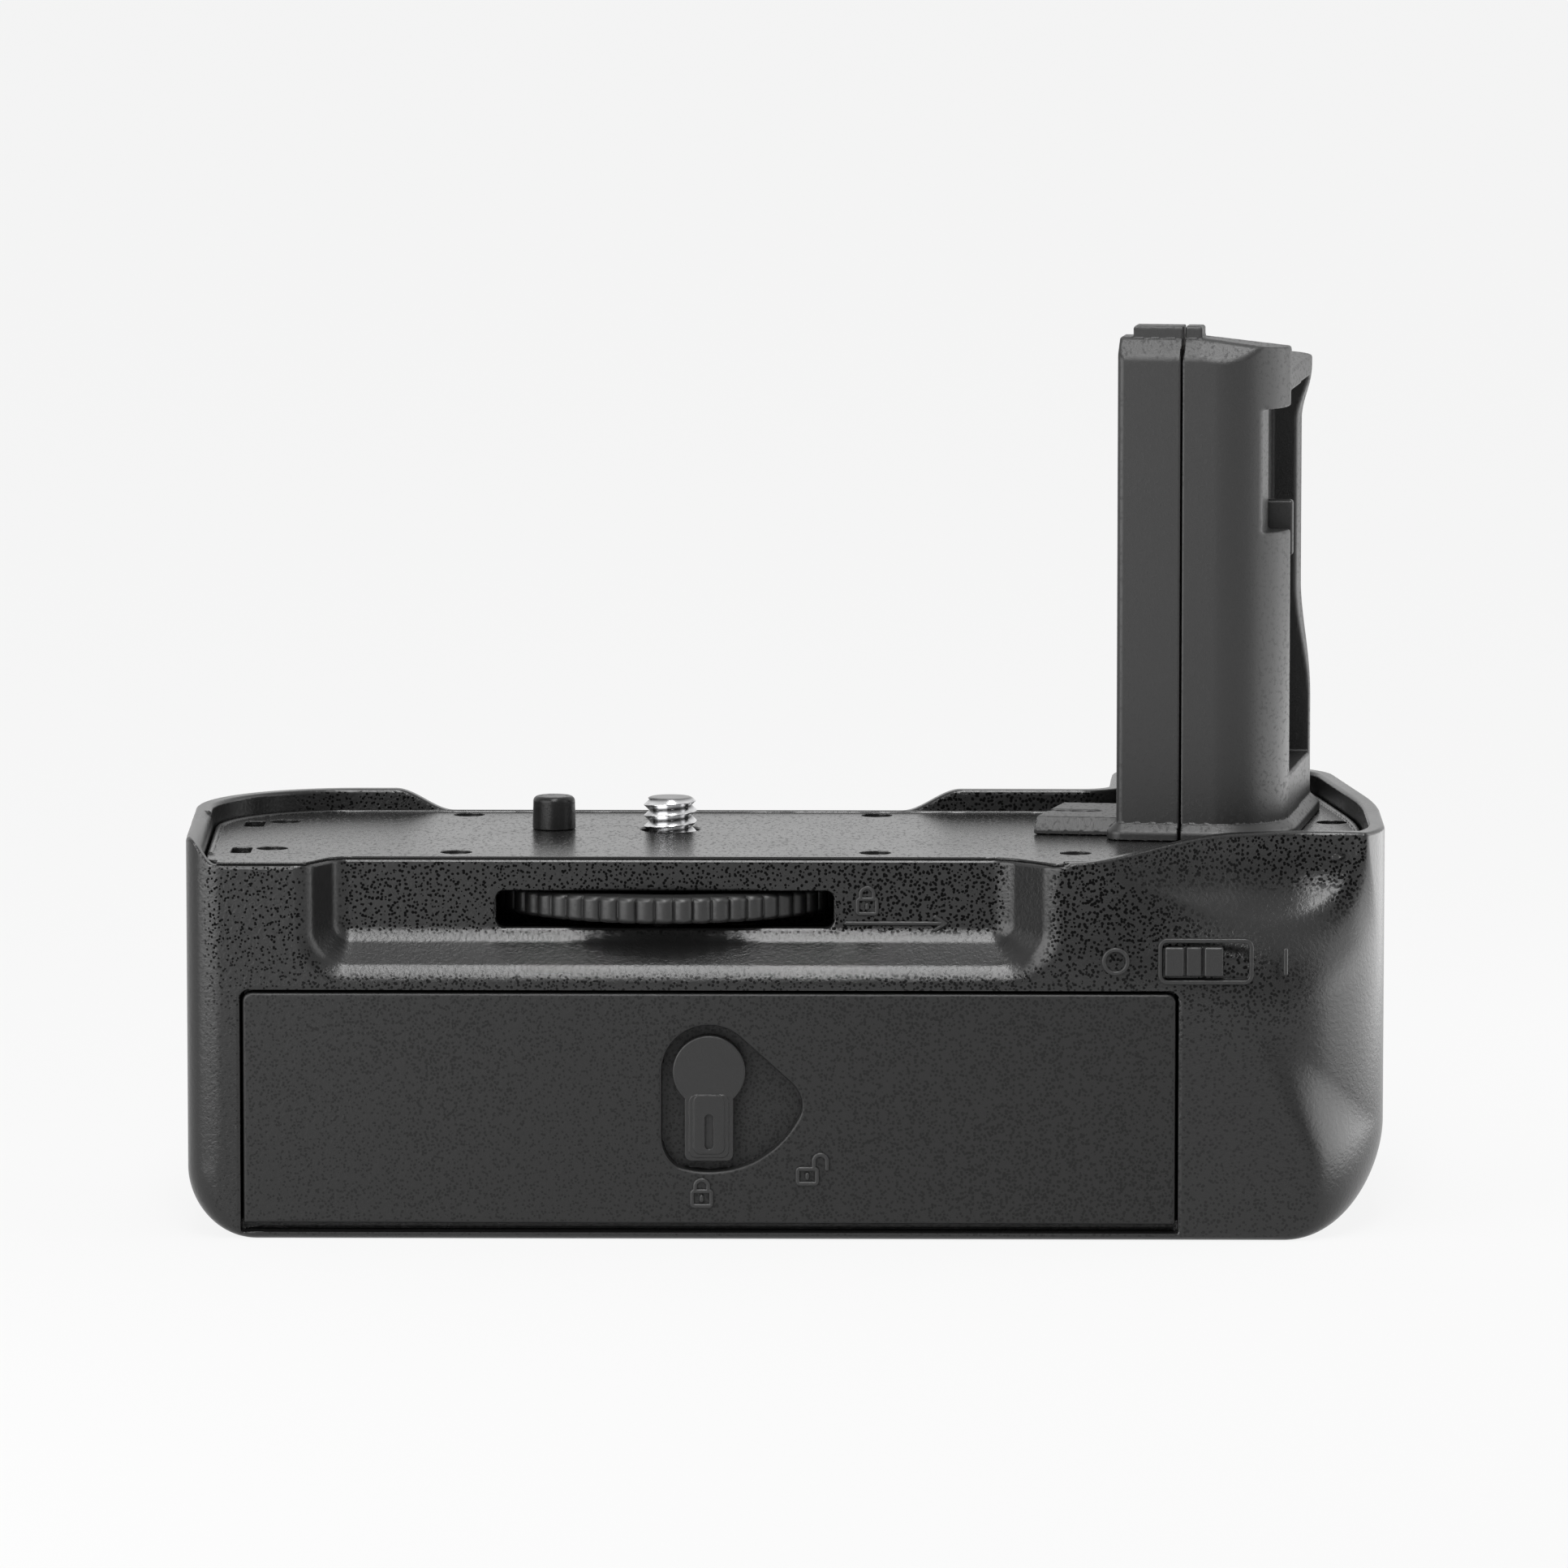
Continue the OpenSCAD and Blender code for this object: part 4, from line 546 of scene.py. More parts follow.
def thin_out(mesh, triangles):
    """A copy of the mesh with about that many triangles."""
    have = sum(len(p.vertices) - 2 for p in mesh.polygons)
    if have <= triangles:
        return mesh
    carrier = bpy.data.objects.new("carrier", mesh)
    bpy.context.scene.collection.objects.link(carrier)
    modifier = carrier.modifiers.new("thin", "DECIMATE")
    modifier.ratio = triangles / have
    modifier.use_collapse_triangulate = True
    made = bpy.data.meshes.new_from_object(carrier.evaluated_get(bpy.context.evaluated_depsgraph_get()))
    bpy.data.objects.remove(carrier)
    bpy.data.meshes.remove(mesh)
    return made


def polish(mesh, field, step):
    """Settles the points of a mesh on the field and takes its normals from the field, apart from at sharp edges."""
    points = np.empty(len(mesh.vertices) * 3, np.float32)
    mesh.vertices.foreach_get("co", points)
    points = settle(field, points.reshape(-1, 3).astype(float) / MM, step / 2)
    mesh.vertices.foreach_set("co", (points * MM).astype(np.float32).ravel())
    mesh.update()
    grown = slope(field, points, step / 6)
    grown /= np.maximum(np.linalg.norm(grown, axis=1), 1e-6)[:, None]
    loops = np.empty(len(mesh.loops), np.int32)
    mesh.loops.foreach_get("vertex_index", loops)
    sides = np.empty(len(mesh.polygons), np.int32)
    mesh.polygons.foreach_get("loop_total", sides)
    flat = np.empty(len(mesh.polygons) * 3, np.float32)
    mesh.polygons.foreach_get("normal", flat)
    area = np.empty(len(mesh.polygons), np.float32)
    mesh.polygons.foreach_get("area", area)
    flat = np.repeat(flat.reshape(-1, 3), sides, 0)
    reach = np.repeat(np.sqrt(area) / MM, sides)
    normals = grown[loops]
    allowed = np.radians(np.clip(40 * step / np.maximum(reach, 1e-3), 4, 50))
    turned = (normals * flat).sum(1) < np.cos(allowed)
    normals[turned] = flat[turned]
    mesh.polygons.foreach_set("use_smooth", np.ones(len(mesh.polygons), bool))
    mesh.normals_split_custom_set(normals.tolist())


def mould(name, field, low, high, step, triangles):
    """A new object on the zero level of a field between two corners, all in millimetres."""
    step = step * QUICK_STEP
    axes = lattice(low, high, step)
    points, quads = net(sample(field, axes), axes)
    if not len(quads):
        raise RuntimeError(name + ": the field has no surface between its corners")
    mesh = thin_out(mesh_of(name, settle(field, points, step / 2), quads), triangles)
    mesh.name = name
    polish(mesh, field, step)
    piece = bpy.data.objects.new(name, mesh)
    bpy.context.scene.collection.objects.link(piece)
    return piece


def dress(piece, body, finish, slot, *nodes):
    """Puts a piece on its body in place of frame nodes, with its finish."""
    piece.data.materials.clear()
    piece.data.materials.append(finish)
    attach(piece, body)
    if nodes:
        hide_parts(*nodes)
    return piece


# Forms of the shell and of what is shaped by it

class ShellForm:
    """Fields of the moulded shell, the deck plate and the rubber inlay."""

    def __init__(self, settings):
        self.size = in_mm(settings)
        self.scoop_x = RIGHT - self.size.scoop_in
        self.scoop_low = DECK - self.size.scoop_drop
        self.pocket_back = REAR + self.size.pocket_depth
        self.plan_z = (DECK + BASE) / 2

    def body(self, x, y, z):
        """The outer block: corners, feet and the hand grip, with no top."""
        s = self.size
        base, rear, nose = BASE - z, REAR - y, y - NOSE
        left = side_of(x, y, (-s.left_end, s.front), (s.left_lean - s.left_end, REAR))
        right = RIGHT - s.right_trim
        taper = side_of(x, y, (right, s.taper_start), (right - s.grip_taper, NOSE))
        end = meet_shallow(x - right, taper, s.taper_soft)
        flank = side_of(x, y, (s.grip_left + s.grip_lean, NOSE), (s.grip_left, s.front))
        front = join(y - s.front, meet(flank, nose, s.grip_corner), s.grip_root)
        shape = corner(left, base, rear, s.foot_left, s.corner_rear_left, s.base_edge)
        shape = np.maximum(shape, corner(left, base, front, s.foot_left, s.corner_front_left, s.base_edge))
        shape = np.maximum(shape, corner(end, base, rear, s.foot_right, s.corner_rear_right, s.base_edge))
        return np.maximum(shape, corner(end, base, nose, s.foot_right, s.grip_corner, s.base_edge))

    def pocket(self, x, y, z):
        """Empty space of the wheel pocket."""
        s = self.size
        back, floor = self.pocket_back, DECK - s.pocket_drop
        left = side_of(x, y, (-s.pocket_left, back), (-s.pocket_left - s.slope_left, REAR))
        right = side_of(x, y, (s.pocket_right + s.slope_right, REAR), (s.pocket_right, back))
        ledge = side_of(y, z, (REAR, floor - s.ledge_fall), (back, floor))
        bend = s.pocket_corner * (0.4 + 0.6 * np.clip((back - y) / s.pocket_depth, 0, 1))
        hollow = np.maximum(meet(left, ledge, bend), meet(right, ledge, bend))
        return meet(hollow, y - back, s.pocket_root)

    def scoop(self, x, y, z):
        """Empty space of the thumb scoop: a slanting, a level and a returning run, flared downwards."""
        s = self.size
        turn = s.scoop_turn - math.pi / 2
        fall = np.maximum(RIM - z, 0) / (RIM - self.scoop_low)
        flare = s.scoop_flare * fall ** 3
        slant = s.scoop_radius - (x - self.scoop_x) * math.cos(turn) - (y - s.scoop_y) * math.sin(turn)
        level = y - REAR - s.scoop_back
        lean = np.hypot(1, 3 * s.scoop_flare * fall * fall / (RIM - self.scoop_low))
        back = level * math.cos(s.scoop_end_turn) + (x - RIGHT + s.scoop_end) * math.sin(s.scoop_end_turn)
        return (meet_shallow(meet_shallow(slant, level, s.scoop_valley), back, s.scoop_valley) + flare) / lean

    def top(self, x, y):
        """Height of the shell's upper edge."""
        s = self.size
        level = DECK - s.deck_edge - (DECK_UNDER + s.wall - DECK)
        start = s.rim_fall_left - s.left_end
        low = ease((x - start) / s.rim_run_left)
        rise = ease((x - s.rim_flat_right) / s.rim_run_right)
        step = ease((x - s.rim_flat_right) / s.rim_edge)
        rear = RIM - low * (RIM - level) + low * (rise * (RIM - DECK) + step * (DECK - level))
        gap = ease((x + s.gap_left + s.gap_run) / s.gap_run) * (1 - ease((x - s.gap_right) / s.gap_run))
        front = RIM - gap * (RIM - DECK)
        return np.where(y < s.scoop_y, rear, np.where(y > s.front - 4 * s.wall, front, RIM))

    def rubber_zone(self, x, y, z, grow):
        s = self.size
        reach = np.maximum(s.front + s.rubber_root - y, s.grip_left - 2 * s.wall - x)
        high = between(z, s.rubber_low, DECK - s.rubber_high)
        return meet(reach, high, s.grip_root / 2) - grow

    def rubber(self, x, y, z):
        s = self.size
        body = self.body(x, y, z)
        skin = between(body, -s.rubber, s.rubber_proud)
        return meet(skin, self.rubber_zone(x, y, z, 0), s.rubber / 3)

    def opening(self, x, z, grow):
        """The tray front's outline in the rear wall, grown by a gap."""
        s = self.size
        low, high = DOOR_LOW, DOOR_HIGH
        return np.maximum(
            panel(x, z, (low[0] - grow, low[2] - 9), (high[0] + grow, high[2] + grow), s.door_corner),
            s.door_lip - z if grow else low[2] - z)

    def recess(self, x, z):
        """Outline of the switch recess."""
        s = self.size
        middle, half = DECK - s.switch_drop, (s.switch_wide / 2, s.switch_high / 2)
        return panel(x, z, (s.switch_x - half[0], middle - half[1]), (s.switch_x + half[0], middle + half[1]),
                     SMALL_CORNER)

    def bezel(self, x, y, z):
        """Fine edge round the switch recess."""
        s = self.size
        ring = between(self.recess(x, z), -s.deck_gap / 4, s.bezel)
        return meet(ring, between(y, REAR - s.bezel / 4, REAR + s.switch_deep - s.deck_gap / 2), s.bezel / 3)

    def shell(self, x, y, z):
        s = self.size
        body, pocket, scoop = self.body(x, y, z), self.pocket(x, y, z), self.scoop(x, y, z)
        soft = s.rim_edge + (s.scoop_edge - s.rim_edge) * ease((RIM - z) / (RIM - self.scoop_low))
        outer = cut(cut(body, pocket, s.mouth_edge), scoop, soft)
        room = np.maximum(outer + s.wall, s.floor - z)
        part = meet(np.maximum(outer, -room), z - self.top(x, y), s.rim_edge)
        inlay = np.maximum(-(body + s.rubber + s.deck_gap / 5), self.rubber_zone(x, y, z, s.deck_gap / 3))
        part = cut(part, inlay, s.deck_gap)
        part = cut(part, np.maximum(self.opening(x, z, s.door_gap), y - REAR - 1.5 * s.wall), s.deck_gap)
        slot = panel(x, z, (WHEEL_LOW[0] - s.slot_gap / 9, WHEEL_LOW[2] - s.slot_gap),
                     (WHEEL_HIGH[0] + s.slot_gap / 9, WHEEL_HIGH[2] + s.slot_gap), SLOT_CORNER)
        part = cut(part, np.maximum(slot, between(y, self.pocket_back - s.wall, self.pocket_back + 1.5 * s.wall)),
                   s.deck_gap)
        part = cut(part, np.maximum(self.recess(x, z), y - REAR - s.switch_deep), s.deck_gap / 2)
        middle, tall = DECK - s.switch_drop, s.switch_high / 2 * 0.55
        stem = panel(x - KNOB_MID[0], z - middle, (STEM_SLOT[0], -tall), (STEM_SLOT[1], tall), 0.3)
        part = cut(part, np.maximum(stem, y - REAR - 1.3 * s.wall), 0)
        socket = np.hypot(x, y) - span("tripod_socket")[1][1] + SOCKET_FLANGE - SOCKET_PLAY
        part = cut(part, np.maximum(socket, z - 2 * s.floor), s.deck_gap)
        for px, py in BASE_SCREWS:
            away = np.hypot(x - px, y - py)
            part = np.maximum(part, -np.maximum(away - seat(z, BASE_SEAT), z - 2 * s.floor))
        return part

    def deck(self, x, y, z):
        s = self.size
        plan = self.body(x, y, self.plan_z)
        pocket, scoop = self.pocket(x, y, z), self.scoop(x, y, z)
        inner = s.wall + s.deck_gap
        plate = np.maximum(plan + inner, np.maximum(inner - pocket, inner - scoop))
        plate = meet(plate, between(z, DECK_UNDER, DECK), s.deck_gap)
        sheet = np.maximum(plan + s.deck_lip, np.maximum(s.deck_lip - pocket, s.deck_lip - scoop))
        start = s.rim_fall_left + s.rim_run_left + s.deck_gap - s.left_end
        sheet = np.maximum(sheet, np.maximum(between(x, start, s.rim_flat_right - s.deck_gap), y - s.scoop_y))
        sheet = meet(sheet, between(z, DECK - s.deck_edge, DECK), s.deck_edge / 4)
        edge = np.hypot(plan + inner + s.bead, z - DECK + s.bead / 3) - s.bead
        bead = np.maximum(edge, REAR + s.pocket_depth + s.wall - y)
        part = np.minimum(np.minimum(plate, sheet), bead)
        hole = np.hypot(x - SCREW_MID[0], y - SCREW_MID[1]) - SCREW_HOLE
        part = cut(part, hole, s.deck_gap)
        part = np.maximum(part, (PIN_HIGH[0] - PIN_LOW[0]) / 5 - np.hypot(x - PIN_MID[0], y - PIN_MID[1]))
        for px, py in DECK_SCREWS:
            away = np.hypot(x - px, y - py)
            part = np.maximum(part, seat(DECK - SCREW_SUNK - z, DECK_SEAT) - away)
        for py in DECK_SLOTS:
            slot = panel(x, y, (DECK_SLOT_ENDS[0] - s.left_end, py - DECK_SLOT_HALF),
                         (DECK_SLOT_ENDS[1] - s.left_end, py + DECK_SLOT_HALF), SMALL_CORNER)
            part = cut(part, slot, s.deck_gap / 2)
        return part


class StalkForm:
    """Fields of the battery-shaped stalk, in its own turned frame: u across, v deep, k up from the deck."""

    def __init__(self, settings):
        self.size = in_mm(settings)
        self.foot = span("stalk_left_shell")[0][2]

    def local(self, x, y, z):
        s = self.size
        dx, dy = x - s.place_x, y - s.place_y
        cos, sin = math.cos(s.yaw), math.sin(s.yaw)
        return dx * cos - dy * sin, dx * sin + dy * cos, z - self.foot

    def outline(self, u, v):
        s = self.size
        left, right, near, far = -u, u - s.wide, -v, v - s.deep
        low = np.maximum(meet(left, near, s.edge), meet(left, far, s.edge))
        return np.maximum(low, np.maximum(meet(right, near, s.corner), meet(right, far, s.corner)))

    def tower(self, u, v, k):
        """The stalk with its top, block and storage pocket."""
        s = self.size
        plan = self.outline(u, v)
        high_u = s.seam + RIDGE_TURN
        turned = side_of(u, v, (s.wide + RIDGE_TURN, s.deep / 4), (high_u, s.ridge))
        high = np.where(u < high_u, v - s.ridge, turned)
        fall = s.ridge_fall * np.maximum(u - high_u, 0) / (s.wide - high_u)
        low_part = meet(plan, k - s.high + s.step, s.soft)
        chamfer = (s.chamfer - v + k - s.high) / math.sqrt(2)
        tall = meet(meet(meet(plan, high, s.soft), k - s.high + fall, s.soft), chamfer + fall / 2, s.soft)
        block = np.maximum(between(u, s.wall, s.block_wide), between(v, s.chamfer, s.chamfer + s.block_deep))
        block = meet(block, between(k, s.high - s.block_high, s.high + s.block_high), s.soft)
        part = np.minimum(np.minimum(low_part, tall), block)
        store_u = s.wide - s.store_deep
        store = np.maximum(store_u - u, between(v, s.store_near, s.deep - s.store_far))
        store = meet(store, between(k, s.store_low, s.high - s.store_top), s.soft)
        part = cut(part, store, s.soft)
        in_reach = ease((k - s.scoop_low) / s.scoop_run) * ease((s.high - s.scoop_top - k) / (s.scoop_run / 2))
        lip = np.maximum(s.wide - s.scoop * in_reach - u, s.deep / 2 - v)
        part = cut(part, lip, s.soft)
        top = s.high - s.window_drop
        window = np.maximum(s.wide - s.window_in - u, v - s.store_near - 1)
        window = meet(window, between(k, top - s.window_high, top), s.soft)
        part = cut(part, window, s.soft)
        hollow = np.maximum(plan + s.wall, k - s.high + s.step + s.wall)
        return np.maximum(part, -np.maximum(hollow, u - store_u + s.wall))

    def collar(self, u, v, k):
        s = self.size
        plan = self.outline(u, v)
        lean = (plan + s.collar_out * (2 * k / s.collar - 2)) / math.hypot(1, 2 * s.collar_out / s.collar)
        shape = meet(meet(plan - s.collar_out, lean, s.soft / 2), k - s.collar, s.soft / 2)
        return np.maximum(shape, -(plan + s.wall))

    def tab(self, u, v, k):
        s = self.size
        near, far, tip = s.tab_start, s.tab_start + s.tab_deep, -s.tab_reach
        shape = np.maximum(between(v, near, far), np.maximum(side_of(u, v, (tip + s.tab_deep / 10, far), (tip, near)),
                                                            u - s.edge))
        shape = meet(shape, k - s.collar, s.soft / 2)
        shape = np.maximum(shape, (k - s.collar + near - v + TAB_SLOPE) / math.sqrt(2))
        mid = (near + far) / 2
        slot = stroke(u, v, [(tip - 5, mid), (tip + s.tab_slot, mid)]) - s.tab_slot_wide / 2
        return cut(shape, np.maximum(slot, s.collar / 3 - k), s.soft / 2)

    def whole(self, x, y, z):
        u, v, k = self.local(x, y, z)
        part = np.minimum(self.tower(u, v, k), self.collar(u, v, k))
        return np.maximum(np.minimum(part, self.tab(u, v, k)), -k), u

    def left(self, x, y, z):
        part, u = self.whole(x, y, z)
        return meet(part, u - self.size.seam + self.size.seam_gap / 2, self.size.seam_gap / 3)

    def right(self, x, y, z):
        part, u = self.whole(x, y, z)
        return meet(part, self.size.seam + self.size.seam_gap / 2 - u, self.size.seam_gap / 3)

    def clip(self, x, y, z):
        s = self.size
        u, v, k = self.local(x, y, z)
        low = s.high - s.window_drop - s.window_high - CLIP_HIGH / 2
        shape = meet(between(u, s.wide - s.store_deep + 0.05, s.wide + 0.1),
                     between(v, s.store_near + CLIP_IN, s.store_near + CLIP_IN + CLIP_THICK), 0.25)
        return meet(shape, between(k, low, low + CLIP_HIGH), 0.4)


# Forms of the small parts

class PartForm:
    """Fields of the wheel, the screws, the pin, the tray front, the latch, the switch knob and the marks."""

    def __init__(self, settings, shell):
        self.size = in_mm(settings)
        self.shell = shell

    def wheel(self, x, y, z):
        s = self.size
        radius = (WHEEL_HIGH[0] - WHEEL_LOW[0]) / 2 + s.wheel_proud
        dx, dy = x - WHEEL[0], y - WHEEL[1]
        part = np.arctan2(dy, dx) * s.ridges / (2 * math.pi)
        part = 2 * (part - np.round(part))
        ridge = s.ridge * (1 - np.sqrt(np.maximum(1 - part * part * RIDGE_ROUND, 0)))
        away = np.hypot(dx, dy)
        side = (away - radius + ridge) * FIELD_SLACK
        top = WHEEL_HIGH[2] + s.wheel_lip * ease((away - radius + RING_WIDE) / RING_RUN)
        disc = meet(side, between(z, WHEEL_LOW[2], top), s.wheel_edge)
        return np.maximum(disc, s.axle - away)

    def screw(self, x, y, z):
        """Camera screw: a real V thread on a core."""
        s = self.size
        away = np.hypot(x - SCREW_MID[0], y - SCREW_MID[1])
        turn = z / s.pitch - np.arctan2(y - SCREW_MID[1], x - SCREW_MID[0]) / (2 * math.pi)
        off = 2 * np.abs(turn - np.round(turn))
        lean = 2 * s.thread / s.pitch
        flank = np.maximum(off - CREST_FLAT, 0) * s.thread
        thread = (away - s.crest + flank) / math.hypot(1, lean)
        run_out = (away - s.crest + np.maximum(z - SCREW_HIGH[2] + s.thread * 0.8, 0) * 1.2) / 1.56
        thread = meet(np.maximum(thread, run_out), z - SCREW_HIGH[2], 0.12)
        thread = np.maximum(thread, DECK_UNDER + 0.4 - z)
        core = np.maximum(away - THREAD_CORE, between(z, SCREW_LOW[2], DECK))
        return np.minimum(thread, core)

    def pin(self, x, y, z):
        s = self.size
        away = np.hypot(x - PIN_MID[0], y - PIN_MID[1])
        stand = (z - DECK) / (PIN_HIGH[2] - DECK)
        peg = meet(away - PIN_RADIUS + s.pin_taper * np.clip(stand, 0, 1), z - PIN_HIGH[2], s.pin_edge)
        peg = meet(peg, DECK + 0.05 - z, 0.12)
        neck = np.maximum(away - PIN_NECK, between(z, DECK_UNDER - 0.5, DECK + 0.5))
        flange = meet(away - (PIN_HIGH[0] - PIN_LOW[0]) / 2, between(z, PIN_LOW[2], DECK_UNDER - 0.05), 0.2)
        return np.minimum(peg, np.minimum(neck, flange))

    def fastener(self, x, y, z):
        """A countersunk screw with a cross recess, head up, at the origin."""
        s = self.size
        away = np.hypot(x, y)
        head = meet((away - s.head - z * (s.head - s.shank) / s.head_high) * FIELD_SLACK, z, 0.08)
        shank = np.maximum(away - s.shank, between(z, -s.head_high - SHANK_LONG, 0))
        bars = [panel(a, b, (-CROSS_LONG, -CROSS_HALF), (CROSS_LONG, CROSS_HALF), 0.1) for a, b in ((x, y), (y, x))]
        cross = np.minimum(*bars) + np.maximum(-z, 0) * 0.35
        return cut(np.minimum(head, shank), np.maximum(cross, -CROSS_DEEP - z), 0.06)

    def pear(self, x, z, grow):
        """Outline of the latch pocket round its pivot."""
        s = self.size
        u, w = x - LATCH[0], z - LATCH[2]
        r = s.disc + s.play
        reach = s.handle + s.play
        t = math.pi / 2 - SWING + math.radians(1)
        line = u * math.sin(t) + w * math.cos(t) - r
        sector = meet(meet(np.hypot(u, w) - reach, -r - u, 2.2), line, 2.0)
        sector = np.maximum(sector, np.minimum(w, w * math.sin(t) - u * math.cos(t)))
        return np.minimum(sector, np.hypot(u, w) - r) - grow

    def door(self, x, y, z):
        s = self.size
        back = REAR + DOOR_THICK
        plate = meet(self.shell.opening(x, z, 0), between(y, REAR, back), s.door_edge)
        boss = np.maximum(between(y, back - 0.5, back + BOSS_HIGH), z - DOOR_HIGH[2] + 0.5)
        part = np.minimum(plate, np.maximum(self.pear(x, z, 1.0), boss))
        tray_low, tray_high = span("tray_frame")
        for px in (tray_low[0] + POST_IN, tray_high[0] - POST_IN):
            for pz in (tray_low[2] + POST_LOW, tray_high[2] - POST_HIGH):
                post = np.hypot(x - px, z - pz) - POST_RADIUS
                post = np.maximum(post, between(y, back - 0.5, tray_low[1] - 0.05))
                part = np.minimum(part, post)
        part = cut(part, np.maximum(self.pear(x, z, 0), y - back), s.door_edge)
        return np.maximum(part, LATCH_BORE - np.hypot(x - LATCH[0], z - LATCH[2]))

    def latch(self, x, y, z):
        s = self.size
        u, w = x - LATCH[0], z - LATCH[2]
        face, base = REAR + s.face, REAR + LATCH_BASE
        away = np.hypot(u, w)
        part = meet(away - s.disc, between(y, face, base), 0.22)
        for level in range(3):
            wide = s.handle_wide / 2 - 0.5 * level
            handle = panel(u, w, (-wide, -s.handle + 0.4 * level), (wide, -s.disc * 0.62), 0.8)
            handle = meet(handle, between(y, face - 0.1 * level, base), 0.12)
            part = np.minimum(part, handle)
        slot = stroke(u, w, [(0, -s.handle * 0.82), (0, -s.handle * 0.52)]) - 0.45
        part = cut(part, np.maximum(slot, y - face - 0.3), 0.1)
        shaft = np.maximum(away - LATCH_SHAFT, between(y, base - 0.5, REAR + SHAFT_END))
        return np.minimum(part, shaft)

    def knob(self, x, y, z):
        half, tall = (KNOB_HIGH[0] - KNOB_LOW[0]) / 2, (KNOB_HIGH[2] - KNOB_LOW[2]) / 2
        u, w = x - KNOB_MID[0], z - KNOB_MID[2]
        floor = REAR + self.shell.size.switch_deep
        slab = panel(u, w, (-half, -tall), (half, tall), 0.25)
        part = meet(slab, between(y, KNOB_LOW[1] + 0.68, floor - 0.1), 0.12)
        rib, gap = half * 0.28, 0.2
        for low, high, drop in ((-half, -rib - gap, 0.0), (-rib, rib, 0.2), (rib + gap, half, 0.0)):
            block = panel(u, w, (low, -tall), (high, tall), 0.2)
            part = np.minimum(part, meet(block, between(y, KNOB_LOW[1] + drop, floor - 0.3), 0.28))
        stem = panel(u, w, (STEM_ENDS[0], -STEM_HALF), (STEM_ENDS[1], STEM_HALF), 0.1)
        stem = meet(stem, between(y, floor - 0.4, KNOB_HIGH[1]), 0.1)
        foot = meet(panel(u, w, (-half, -tall), (half, tall), 0.1), between(y, REAR + 2.15, REAR + 3.15), 0.1)
        return np.minimum(part, np.minimum(stem, foot))

    def raised(self, d, y, face):
        """Strokes at a distance d, standing on a wall that faces the rear."""
        s = self.size
        return meet(d - s.stroke / 2, between(y, face - s.stroke_high, face + 0.3), s.stroke_high * 0.6)


def padlock(u, v, shut):
    """Distance to the lines of a padlock, 2 wide and about 3.3 high; its shackle stands to one side when open."""
    case = np.abs(panel(u, v, (-1.1, -1.5), (1.1, 0.2), 0.25))
    lift = 0.0 if shut else 0.35
    side = 0.0 if shut else 1.5
    bow = np.where(v > 0.75 + lift, np.abs(np.hypot(u - side, v - 0.75 - lift) - 0.75),
                   np.hypot(np.abs(np.abs(u - side) - 0.75), np.maximum(0.2 - v, 0)))
    return np.minimum(case, np.minimum(bow, stroke(u, v, [(0, -0.85), (0, -0.45)])))


def arrow(u, v, start, end):
    """Distance to a level arrow from start to end."""
    way = 1 if end > start else -1
    head = stroke(u, v, [(end - way * 1.2, 0.75), (end, 0), (end - way * 1.2, -0.75)])
    return np.minimum(stroke(u, v, [(start, 0), (end, 0)]), head)


# Finishes

class Wire:
    """A shader socket; arithmetic on it adds Math nodes."""

    def __init__(self, paint, socket):
        self.paint, self.socket = paint, socket

    def math(self, operation, *values):
        return self.paint.node("Math", {"operation": operation}, dict(enumerate(values)))

    def __add__(self, other):
        return self.math("ADD", self, other)

    def __sub__(self, other):
        return self.math("SUBTRACT", self, other)

    def __rsub__(self, other):
        return self.math("SUBTRACT", other, self)

    def __mul__(self, other):
        return self.math("MULTIPLY", self, other)

    def most(self, other):
        return self.math("MAXIMUM", self, other)

    def rise(self, low, high):
        """A smooth rise from 0 at low to 1 at high."""
        return self.paint.node("MapRange", {"interpolation_type": "SMOOTHSTEP"},
                               {"Value": self, "From Min": low, "From Max": high})

    __radd__, __rmul__ = __add__, __mul__


